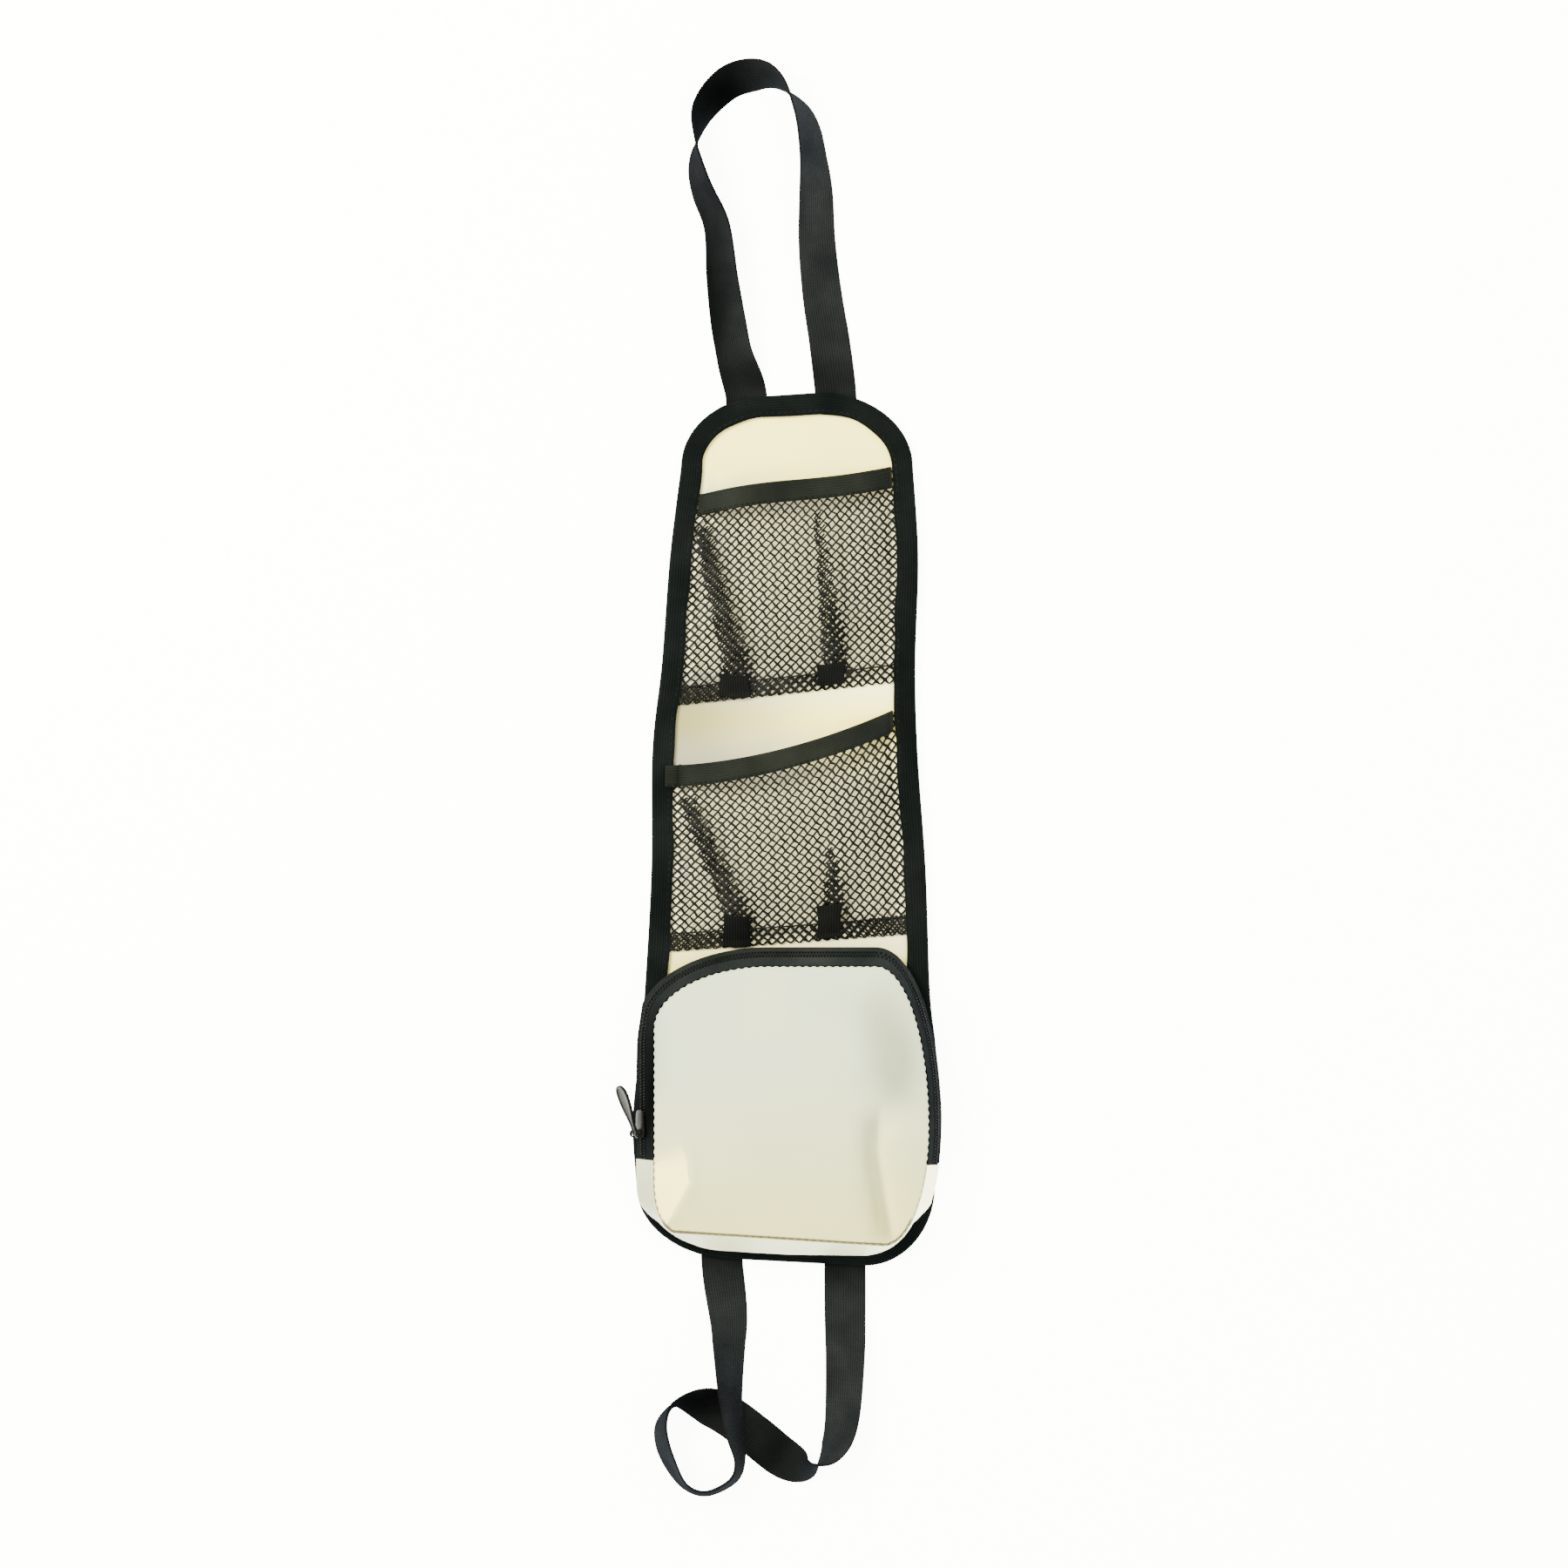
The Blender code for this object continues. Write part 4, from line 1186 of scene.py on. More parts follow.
    def in_wedge(self, spot: Vector, grow: float = 1.0) -> bool:
        """Return whether a place on the panel lies under one of the pleats' folded stretches.

        Args:
            spot: the place on the panel.
            grow: a factor on the width of the stretches.
        Returns:
            Whether it does.
        """
        for start, end, low_half, high_half in self.wedges:
            low, high = from_photo(start), from_photo(end)
            share = (spot.y - low.y) / (high.y - low.y)
            if 0.0 < share < 1.0:
                middle = low.lerp(high, share)
                half = mix(low_half, high_half, share) * PIXEL
                if abs(spot.x - middle.x) < half * grow:
                    return True
        return False

    def tuck_patch(self, number: int, first: Pair, second: Pair) -> Piece:
        """Model the sewn square at a pleat's foot, where the folded net lies in a tight stack.

        Args:
            number: the square's number.
            first: its upper left pixel in the photograph.
            second: its lower right pixel.
        Returns:
            The stack.
        """
        low, high = from_photo((first[0], second[1])), from_photo((second[0], first[1]))

        def place(u: float, v: float) -> Vector:
            """Return the stack's point across and up.

            Args:
                u: the share across.
                v: the share up.
            Returns:
                The point.
            """
            spot = Vector((mix(low.x, high.x, u), mix(low.y, high.y, v)))
            spot.x += 0.0005 * math.sin(v * 5.0 + number) * (2 * u - 1)
            spot.y += 0.0006 * math.sin(u * 4.0 + number * 2)
            share = self.share_of(spot)
            swell = self.tuck_swell * (1 - (2 * u - 1) ** 4) * (1 - (2 * v - 1) ** 4)
            return self.point(share[0], min(share[1], 0.999), self.tuck_lift + swell)

        patch = warped_grid(f"{self.name}_tuck_{number}", 16, 14, place, ((high - low).x, (high - low).y))
        return thicken(patch, self.tuck_cloth, 0.0003)

    def band_cord(self) -> Piece:
        """Model the turned edge of the net along the top of its seam band.

        Returns:
            The edge as a thin rounded cord.
        """
        cord = primitive(bpy.ops.mesh.primitive_cylinder_add, f"{self.name}_band_edge", vertices=8,
                         radius=self.cord, depth=1.0)

        def rings() -> None:
            """Cut the cord into short lengths."""
            bpy.ops.transform.rotate(value=math.pi / 2, orient_axis="Y", center_override=(0, 0, 0))
            for i in range(1, 90):
                bpy.ops.mesh.select_all(action="SELECT")
                bpy.ops.mesh.bisect(plane_co=(i / 90 - 0.5, 0, 0), plane_no=(1, 0, 0))

        in_edit(cord, rings)
        for vertex in cord.data.vertices:
            u = 0.035 + 0.93 * (vertex.co.x + 0.5)
            mouth, bottom = self.heights(u)
            v = 1.0 - self.band / (mouth - bottom)
            centre = self.point(u, v, 0.0009)
            vertex.co = centre + Vector((0, vertex.co.y, vertex.co.z))
        return face_out(cord, 50)

    def folds(self) -> List[Piece]:
        """Knit the layers of net that lie over the first: the turned seam, the pleats and their squares.

        Returns:
            The extra layers.
        """
        mouth, bottom = self.heights(0.5)
        start = self.hem_width * 0.6 / (mouth - bottom)
        seam = 1.0 - self.band / (mouth - bottom)
        whole = (0.03, 0.97)
        layers = [self.lattice(f"{self.name}_seam_net", whole, (seam, 0.995), 0.0005, (0.5, 0.2))]
        for k, shift in enumerate(((1.0, 0.1), (0.45, 0.6))):
            layers.append(self.lattice(f"{self.name}_pleat_net_{k + 1}", whole, (start, 0.99),
                                       self.layer_lift * (k + 1), shift,
                                       lambda u, v: self.in_wedge(self.point(u, v).xy, 1.0 - 0.25 * k)))
        layers.append(self.band_cord())
        return layers

    def hem(self) -> Tuple[Piece, Piece, Pair]:
        """Fold the tape over the pocket's mouth.

        Returns:
            The tape, its stitches and its flat width and length.
        """
        lift = LEVELS.cloth / 2 + self.hem_gap + self.hem_cloth / 2
        profile = [(self.hem_width * (1 - i / 5), -lift) for i in range(5)]
        profile += [(lift - lift * math.sin(math.pi * i / 6), -lift * math.cos(math.pi * i / 6)) for i in range(7)]
        profile += [(lift + (self.hem_width - lift) * i / 8, lift) for i in range(1, 9)]
        last = len(profile) - 1
        left_u, right_u = self.hem_ends
        if self.over_binding:
            left_u = self.hem_end_on_binding
        shelf = LEVELS.face + LEVELS.gap + self.hem_cloth / 2

        def place(across: float, along: float) -> Vector:
            """Return the tape's point across its section and along the mouth.

            Args:
                across: the share across its section.
                along: the share along the mouth.
            Returns:
                The point.
            """
            down, off = profile[round(across * last)]
            u = mix(left_u, right_u, along)
            mouth, bottom = self.heights(u)
            found = self.point(u, (down - lift) / (mouth - bottom), off)
            climb = smooth_step((0.085 - u) / 0.05) if self.over_binding else 0.0
            floor = shelf + (LEVELS.binding_top + LEVELS.gap + self.hem_cloth / 2 - shelf) * climb
            share = (off + lift) / (2 * lift)
            found.z = max(found.z, floor + self.hem_lift * share)
            return found

        length = path_length([place(1.0, i / 60) for i in range(61)])
        tape = warped_grid(f"{self.name}_hem_tape", last, 150, place, (self.hem_width * 2, length))
        thicken(tape, self.hem_cloth)
        path = []
        for i in range(121):
            u = mix(max(left_u, 0.01), 0.95, i / 120)
            along = (u - left_u) / (right_u - left_u)
            path.append(place(1.0, along).lerp(place((last - 1.0) / last, along), 0.9) + UP * self.stitch_lift)
        sewn = stitch_row(f"{self.name}_hem_stitches", path, *self.hem_stitch)
        return tape, sewn, (self.hem_width * 2, length)

    def build(self) -> None:
        """Model the net, its folded layers and its hem, and dress them."""
        net = self.lattice(f"{self.name}_mesh_net", (0.0, 1.0), (0.004, 0.998), 0.0)
        layers = self.folds()
        for layer in layers:
            dress(layer, self.finishes.net, Slot.NET)
        for number, (first, second) in enumerate(self.squares):
            layers.append(self.tuck_patch(number + 1, first, second))
            dress(layers[-1], self.finishes.tuck, Slot.NET)
        mouth, bottom = self.heights(0.5)
        left, right = self.side_x((mouth + bottom) / 2)
        flat = (right - left, mouth - bottom + self.margin)
        dress(net, self.finishes.net, Slot.NET, f"{self.name}_net")
        tape, sewn, flat = self.hem()
        dress(sewn, self.finishes.black_thread, Slot.TAPE)
        dress(tape, self.finishes.hem, Slot.TAPE, f"{self.name}_hem")


@dataclass
class Pouch(Part):
    """The zipped pouch: a front sewn to a wall, which is zip on three sides and gusset below."""

    left: float = -0.0643
    right: float = 0.0672
    top: float = -0.0652
    bottom_left: float = -0.1924
    bottom_right: float = -0.1987
    top_left_corner: Pair = (0.0550, 0.0300)
    top_right_corner: Pair = (0.0252, 0.0756)
    bottom_left_corner: Pair = (0.0105, 0.0250)
    bottom_right_corner: Pair = (0.0214, 0.0563)
    cloth: float = 0.0012
    dome: float = 0.0035
    wall_inset: float = 0.0112
    crest_out: float = 0.0085
    crest_less_at_right: float = 0.0025
    crest_below_seam: float = 0.0148
    crest_overhang: float = 0.0015
    crest_inset: float = 0.0042
    crest_more_at_right: float = 0.0030
    crest_blend: float = 0.0160
    travel_end: float = -0.0975
    stand: float = 0.0024
    belly: Pair = (0.72, 0.55)
    zip_left_end: float = -0.1575
    zip_right_end: float = -0.1600
    zip_above_crest: float = 0.0070
    tooth_width: float = 0.0024
    tooth_height: float = 0.0021
    tooth_pitch: float = 0.0014
    parting: float = 0.0008
    seam_allowance: float = 0.0025
    tape_parting: float = 0.0008
    crest_round: float = 0.0012
    tape_spans: int = 300
    gusset_spans: int = 220
    front_rings: int = 56
    front_steps: int = 480
    pucker_pitch: float = 0.0036
    pucker: float = 0.0006
    dimple: float = 0.0002
    sway: float = 0.0004
    section_steps: int = 24
    trim: float = 0.0004

    def loop(self) -> List[Vector]:
        """Return the seam round the front, anticlockwise from the middle of its right side.

        Returns:
            Its flat points.
        """
        path = list(corner_arc((self.right, self.top), self.top_right_corner, 0))
        path += corner_arc((self.left, self.top), self.top_left_corner, 90)
        path += corner_arc((self.left, self.bottom_left), self.bottom_left_corner, 180)
        path += corner_arc((self.right, self.bottom_right), self.bottom_right_corner, 270)
        return resample(path, 720, closed=True)

    def seam_parts(self) -> Tuple[List[Vector], List[Vector]]:
        """Return the stretch of the seam that the zip runs along, and the rest of it.

        Returns:
            Both stretches.
        """
        loop = self.loop()
        rights = [i for i, point in enumerate(loop) if point.x > 0]
        start = min(rights, key=lambda i: abs(loop[i].y - self.zip_right_end))
        turned = loop[start:] + loop[:start]
        lefts = [i for i, point in enumerate(turned) if point.x < 0]
        end = min(lefts, key=lambda i: abs(turned[i].y - self.zip_left_end))
        return turned[:end + 1], turned[end:] + [turned[0]]

    def wall_frame(self, point: Vector, normal: Vector) -> Tuple[Vector, Vector, Vector]:
        """Return the wall's foot, crest and seam at a point of the seam.

        Args:
            point: the seam's flat point.
            normal: its outward direction.
        Returns:
            The three points in space.
        """
        out = self.crest_out - self.crest_less_at_right * max(normal.x, 0.0) ** 2
        below = clamp((OUTLINE.stations[0][0] - point.y) / self.crest_blend)
        above = clamp((point.y - self.travel_end) / self.crest_blend)
        inset = (self.crest_inset + self.crest_more_at_right * max(point.x / self.right, 0.0)) * below
        inset -= self.crest_overhang * (1 - below) * (1 - above)
        foot = OUTLINE.hold_inside(point, self.wall_inset)
        crest = OUTLINE.hold_inside(point + normal * out, inset)
        crest_level = LEVELS.seam - self.crest_below_seam
        return (Vector((*foot, LEVELS.face + LEVELS.gap)), Vector((*crest, crest_level)),
                Vector((*point, LEVELS.seam)))

    def section(self, frame_points: Tuple[Vector, Vector, Vector]) -> List[Vector]:
        """Return the wall's rounded section from its foot to its seam.

        Args:
            frame_points: the foot, the crest and the seam.
        Returns:
            The section's points.
        """
        foot, crest, seam = frame_points
        stand = foot + Vector((0, 0, self.stand))
        belly = stand.lerp(crest, self.belly[0])
        belly.z = mix(stand.z, crest.z, self.belly[1])
        down = (crest - belly).normalized()
        up = (seam - crest).normalized()
        keys = [foot, stand, belly, crest - down * self.crest_round, crest.lerp(belly.lerp(seam, 0.5), 0.04)]
        keys += [crest + up * self.crest_round, crest.lerp(seam, 0.4), crest.lerp(seam, 0.7), seam]
        return smooth_route(keys, 4)

    def wall(self, name: str, path: Sequence[Vector], spans: int, low: float, high: float) -> Tuple[Piece, Pair]:
        """Model a stretch of the wall.

        Args:
            name: the piece's name.
            path: the stretch of the seam.
            spans: how many spans it has along the seam.
            low: where it starts above the crest, or less than nothing for the foot.
            high: where it ends above the crest, or nothing for the seam.
        Returns:
            The stretch, and its flat width and length.
        """
        even = resample(path, spans + 1, closed=False)
        rows = []
        for point, normal in zip(even, right_normals(even, closed=False)):
            corners = self.wall_frame(point, normal)
            crest = corners[1]
            up = (corners[2] - crest).normalized()
            kept = self.section(corners)
            if low > 0:
                kept = [crest + up * low] + [p for p in kept if (p - crest).dot(up) > low + self.trim]
            if high:
                kept = [p for p in kept if (p - crest).dot(up) < high - self.trim] + [crest + up * high]
            rows.append(resample(kept, self.section_steps + 1, closed=False))

        def place(u: float, v: float) -> Vector:
            """Return the wall's point up its section and along the seam."""
            return rows[round(v * spans)][round(u * self.section_steps)]

        middle = [row[self.section_steps // 2] for row in rows]
        size = (path_length(rows[spans // 2]), path_length(middle))
        return thicken(warped_grid(name, self.section_steps, spans, place, size), LEVELS.wall), size

    def build_tapes(self, path: Sequence[Vector]) -> None:
        """Model the tapes on each side of the zip, along its stretch of the seam, and dress them.

        Args:
            path: the zip's stretch of the seam.
        """
        reach = self.tape_parting / 2
        for side, low, high in (("back", -1.0, self.zip_above_crest - reach),
                                ("front", self.zip_above_crest + reach, 0.0)):
            tape, size = self.wall(f"zip_{side}_tape", path, self.tape_spans, low, high)
            paint(tape, cloth_shade, "shade")
            dress(tape, self.finishes.zip_tape, Slot.ZIP_TAPE, f"zip_tape_{side}")

    def build_gusset(self, path: Sequence[Vector]) -> None:
        """Model the strip that walls the pouch along the rest of the seam, and dress it.

        Args:
            path: the rest of the seam.
        """
        gusset, size = self.wall("gusset_strip", path[1:-1], self.gusset_spans, -1.0, 0.0)
        paint(gusset, self.gusset_tone)
        dress(gusset, self.finishes.gusset, Slot.LEATHER, "pouch_gusset")

    def gusset_tone(self, spot: Vector) -> float:
        """Return the gusset's tone: painted shade on its left and painted light along the bottom.

        Args:
            spot: the place on the panel.
        Returns:
            The tone.
        """
        column = spot.x / PIXEL + PHOTO_ORIGIN[0]
        tone = 0.36 + 0.36 * smooth_step((column - 745.0) / 90.0) + 0.14 * painted_light_oval(spot, (742, 1334), (24, 16))
        return tone + 0.2 * smooth_step((column - 1040.0) / 20.0)

    def zip_line(self, path: Sequence[Vector]) -> List[Tuple[Vector, Vector]]:
        """Return the middle of the zip and the way up the wall, along a stretch of the seam.

        Args:
            path: the zip's stretch of the seam.
        Returns:
            Both at each point of the stretch.
        """
        found = []
        for point, normal in zip(path, right_normals(path, closed=False)):
            _, crest, seam = self.wall_frame(point, normal)
            up = (seam - crest).normalized()
            found.append((crest + up * self.zip_above_crest, up))
        return found

    def coil(self, name: str, path: Sequence[Vector], side: int) -> Piece:
        """Wind one row of coil teeth: one turn is modelled, and the rest are its copies.

        Args:
            name: the row's name.
            path: the stretch of the seam that the zip runs along.
            side: -1 for the row on the back tape and 1 for the row on the front tape.
        Returns:
            The row.
        """
        count = int(path_length(path) / self.tooth_pitch)
        line = self.zip_line(resample(path, count * 2 + 1, closed=False))
        frames = []
        for i in range(1 + (side > 0), count * 2 - 1, 2):
            middle, up = line[i]
            along = (line[i + 1][0] - line[i - 1][0]).normalized()
            across = (up - along * up.dot(along)).normalized()
            place = middle + across * side * (self.parting / 2 + self.tooth_width / 2)
            frames.append(axes(along, across, along.cross(across), place))
        return beads(name, (self.tooth_pitch * 0.80, self.tooth_width, self.tooth_height), 10, 7, frames)

    def build_teeth(self, path: Sequence[Vector]) -> None:
        """Wind both rows of teeth along the zip's stretch of the seam, and dress them."""
        for side, end in ((-1, "back"), (1, "front")):
            dress(self.coil(f"coil_{end}", path, side), self.finishes.teeth, Slot.TEETH, f"zip_teeth_{end}")

    def crease(self, spot: Vector) -> float:
        """Return how far the front is pushed in or out by its folds at a place.

        Args:
            spot: the place on the panel under it.
        Returns:
            The height in metres.
        """
        height = 0.0
        for fold in FRONT_FOLDS:
            along, aside = fold.measure(spot)
            if 0.0 <= along <= 1.0:
                fade = smooth_step(along / fold.fade_start) * smooth_step((1.0 - along) / fold.fade_end)
                height -= fold.depth * bell(aside / fold.width) * fade
                beside = (aside - fold.ridge_from) / fold.ridge_width
                height += fold.ridge * bell(beside) * fade
        return height

    def front_tone(self, spot: Vector) -> float:
        """Return the front's tone: painted light on facets in its lower corners and painted shade in its folds.

        Args:
            spot: the place on the panel.
        Returns:
            The tone.
        """
        lower_left, lower_right, _ = FRONT_FOLDS
        along, aside = lower_left.measure(spot)
        facet = smooth_step((0.0004 - aside) / 0.0010) * smooth_step((1.02 - along) / 0.45)
        tone = 0.47 + 0.44 * facet * smooth_step((along + 0.2) / 0.1)
        tone -= 0.10 * bell((aside - 0.0016) / 0.0014) * smooth_step((0.62 - along) / 0.3)
        along, aside = lower_right.measure(spot)
        run = smooth_step((along + 0.05) / 0.15) * smooth_step((1.08 - along) / 0.25)
        width = 0.0085 if aside < 0.0018 else 0.0022
        tone -= 0.34 * bell((aside - 0.0018) / width) * run
        tone += 0.22 * smooth_step((aside - 0.0036) / 0.0012) * run * smooth_step((0.020 - aside) / 0.014)
        for pixel, radii, share in FRONT_LIGHT_AND_SHADE:
            tone += share * painted_light_oval(spot, pixel, radii)
        return max(tone, 0.10)

    def build_front(self) -> None:
        """Model the front with its creases and its sewn edge, and dress it."""
        steps = self.front_steps
        seam = resample(self.loop(), steps, closed=True)
        normals = right_normals(seam, closed=True)
        centre = sum(seam, Vector((0, 0))) / steps
        puckers = round(path_length(seam) / self.pucker_pitch)

        def place(u: float, v: float) -> Vector:
            """Return the front's point from its edge inwards and round it.

            Args:
                u: the share of the way inwards.
                v: the share round the seam.
            Returns:
                The point.
            """
            i = round(v * steps) % steps
            share = 1.0 - u ** 1.25
            pucker = 0.5 + 0.5 * math.cos(2 * math.pi * puckers * i / steps)
            spot = centre + (seam[i] - centre) * share
            near = math.exp(-(1.0 - share) / 0.03)
            spot -= normals[i] * self.pucker * pucker * near
            level = LEVELS.front + self.cloth / 2 + self.dome * (1 - share ** 2)
            level += self.crease(spot) * min((1.0 - share) * 12.0, 1.0)
            sway = math.sin(spot.x * 71 + 1.1) * math.sin(spot.y * 53 + 0.4)
            level += self.sway * sway * min((1.0 - share) * 5.0, 1.0)
            level -= self.dimple * pucker * near
            return Vector((*spot, max(level, LEVELS.front + self.cloth / 2)))

        size = (self.right - self.left, self.top - self.bottom_right)
        front = warped_grid("pouch_front_sheet", self.front_rings, steps, place, size, wrap=True)
        thicken(front, self.cloth, 0.0004)
        edge = KDTree(steps)
        for i, point in enumerate(seam):
            edge.insert((*point, 0.0), i)
        edge.balance()

        def tone(spot: Vector) -> float:
            """Return the front's tone, with the painted shade that its seam lies in.

            Args:
                spot: the place on the panel.
            Returns:
                The tone.
            """
            depth = edge.find((*spot, 0.0))[2]
            low = smooth_step((-0.184 - spot.y) / 0.004)
            return self.front_tone(spot) - (0.12 + 0.9 * low) * smooth_step((0.0014 - depth) / 0.0008)

        paint(front, tone)
        dress(front, self.finishes.front, Slot.LEATHER, "pouch_front")

    def build(self) -> None:
        """Model every piece of the pouch."""
        zip_path, gusset_path = self.seam_parts()
        self.build_tapes(zip_path)
        self.build_gusset(gusset_path)
        self.build_teeth(zip_path)
        self.build_front()


@dataclass(frozen=True)
class Fold:
    """A crease in the pouch's front: a valley along a route of pixels, with a ridge on its right.

    A ridge_from less than nothing puts the ridge on its left.
    """

    route: Sequence[Pair]
    depth: float
    width: float
    ridge: float
    ridge_from: float
    ridge_width: float
    fade_start: float
    fade_end: float

    def measure(self, spot: Vector) -> Pair:
        """Return how far along the route a place lies, and how far beside it.

        Args:
            spot: the place on the panel.
        Returns:
            The share of the route, and the distance in metres, more than nothing on its right.
        """
        points = [from_photo(pixel) for pixel in self.route]
        total = path_length(points)
        best, found, reach = math.inf, (0.0, 0.0), 0.0
        for a, b in zip(points, points[1:]):
            step = b - a
            raw = (spot - a).dot(step) / step.length_squared
            first, last = a is points[0], b is points[-1]
            share = raw if (first and raw < 0) or (last and raw > 1) else clamp(raw)
            gap = spot - a.lerp(b, share)
            if gap.length < best:
                best = gap.length
                side = Vector((step.y, -step.x)).normalized()
                aside = math.copysign(gap.length, gap.dot(side))
                found = ((reach + step.length * share) / total, aside)
            reach += step.length
        return found


# Painted light and shade on the front: an oval's centre and radii in pixels and the tone it adds, less than nothing
# for shade.
FRONT_LIGHT_AND_SHADE = (
    ((1026, 1215), (30, 62), -0.42), ((1000, 1165), (26, 30), -0.12), ((882, 1150), (30, 46), 0.09),
    ((1034, 1286), (20, 22), 0.16), ((752, 1200), (12, 60), -0.16), ((960, 1145), (60, 26), -0.05),
)
FRONT_FOLDS = (
    Fold(((765, 1404), (780, 1378), (793, 1353), (789, 1322), (776, 1288)), 0.0004, 0.0012, 0.0010, 0.0020, 0.0030,
         0.06, 0.45),
    Fold(((1016, 1424), (1006, 1370), (998, 1320), (1000, 1268)), 0.0013, 0.0030, 0.0009, 0.0062, 0.0030, 0.05, 0.35),
    Fold(((1003, 1262), (1004, 1205), (1012, 1158)), 0.0007, 0.0060, 0.0004, -0.0090, 0.0050, 0.30, 0.40),
)


@dataclass
class Metalwork(Part):
    """The zip's slider and its leaf-shaped puller, in the slider's own frame.

    X runs along the zip with the nose at -X, Y down the wall and Z out of it.
    """

    pouch: Pouch
    from_end: float = 0.0165
    length: float = 0.0130
    nose: float = 0.0090
    tail: float = 0.0068
    plate: float = 0.0011
    above_teeth: float = 0.00045
    web: Tuple[float, float, float] = (-0.0055, 0.0005, 0.0003)
    pivot_back: float = 0.0047
    pivot_rise: float = 0.0018
    pin: float = 0.0007
    lug: float = 0.0010
    lug_wall: float = 0.0009
    leaf_length: float = 0.0250
    leaf_width: float = 0.0100
    neck: float = 0.0036
    heel: float = 0.0010
    neck_length: float = 0.0040
    leaf_cloth: float = 0.0014
    angle: float = 21.0

    def frame(self) -> Matrix:
        """Return the slider's frame on the wall.

        Returns:
            The frame, as a matrix.
        """
        pouch = self.pouch
        spot = Vector((pouch.left, pouch.zip_left_end + self.from_end))
        _, crest, seam = pouch.wall_frame(spot, Vector((-1.0, 0.0)))
        up = (seam - crest).normalized()
        along = Vector((0.0, 1.0, 0.0))
        out = along.cross(up).normalized()
        if out.z < 0:
            out.negate()
        return axes(along, out.cross(along), out, crest + up * pouch.zip_above_crest)

    @property
    def levels(self) -> Pair:
        """The inner and outer faces of the slider's upper plate."""
        inner = self.pouch.tooth_height / 2 + self.above_teeth
        return inner, inner + self.plate

    def slab(self, name: str, outline: Sequence[Pair], low: float, high: float, rounding: float,
             dish: float = 0.0) -> Piece:
        """Model a flat plate: a filled outline extruded, dished by an inset if asked, and rounded.

        Args:
            name: the plate's name.
            outline: its corners.
            low: its lower level.
            high: its upper level.
            rounding: the radius of its edges.
            dish: how deep its upper face is sunk inside a rim.
        Returns:
            The plate.
        """
        plate = primitive(bpy.ops.mesh.primitive_circle_add, name, vertices=len(outline), radius=1.0,
                          fill_type="NGON")
        for vertex, (x, y) in zip(plate.data.vertices, outline):
            vertex.co = (x, y, low)

        def raise_face() -> None:
            """Extrude the outline and sink its middle."""
            bpy.ops.mesh.extrude_region_move(TRANSFORM_OT_translate={"value": (0, 0, high - low)})
            if dish:
                bpy.ops.mesh.inset(thickness=0.0011)
                bpy.ops.mesh.inset(thickness=0.0004)
                bpy.ops.transform.translate(value=(0, 0, -dish))
            bpy.ops.mesh.select_all(action="SELECT")
            bpy.ops.mesh.normals_make_consistent(inside=False)

        in_edit(plate, raise_face)
        round_edges(plate, rounding, 3, 28.0)
        return plate

    def rod(self, radius: float, depth: float) -> Piece:
        """Return a rod that lies across the slider.

        Args:
            radius: the rod's radius.
            depth: its length.
        Returns:
            The rod.
        """
        rod = primitive(bpy.ops.mesh.primitive_cylinder_add, "rod", vertices=20, radius=radius, depth=depth)
        rod.data.transform(QUARTER_TURN)
        return rod

    def merge(self, name: str, plates: Sequence[Piece], matrix: Matrix) -> Piece:
        """Join plates into one piece, placed by a frame.

        Args:
            name: the piece's name.
            plates: the plates.
            matrix: the frame that they are drawn in.
        Returns:
            The piece.
        """
        deselect_all()
        for plate in plates:
            plate.select_set(True)
        bpy.context.view_layer.objects.active = plates[0]
        bpy.ops.object.join()
        piece = bpy.context.active_object
        piece.name = name
        piece.data.transform(matrix)
        take(piece)
        bpy.ops.object.shade_smooth_by_angle(angle=math.radians(40))
        return piece

    def build_slider(self) -> Piece:
        """Model the slider: two shield plates, the web between them and two rounded lugs.

        Returns:
            The slider.
        """
        inner, outer = self.levels
        half = self.length / 2
        ends = ((1.0, 0.45, self.tail), (0.93, 0.8, self.tail), (0.7, 1.0, self.tail), (0.1, 1.0, self.tail),
                (-0.35, 0.90, self.nose), (-0.65, 1.0, self.nose), (-0.9, 0.86, self.nose), (-1.0, 0.60, self.nose))
        right = [(half * x, width / 2 * y) for x, y, width in ends]
        shield = right + [(x, -y) for x, y in reversed(right)]
        plates = [self.slab("slider_top", shield, inner, outer, 0.0003),
                  self.slab("slider_base", shield, -outer, -inner, 0.0003)]
        start, end, thick = self.web
        web = ((start, -thick), (end, -thick), (end, thick), (start, thick))
        plates.append(self.slab("slider_web", web, -inner - 0.0004, inner + 0.0004, 0.0001))
        for side in (-1, 1):
            near = side * (self.neck / 2 + LEVELS.gap)
            far = near + side * self.lug
            plates.append(self.lug_plate(f"slider_lug_{side + 1}", min(near, far), max(near, far), outer))
        return self.merge("zip_slider_body", plates, self.frame())

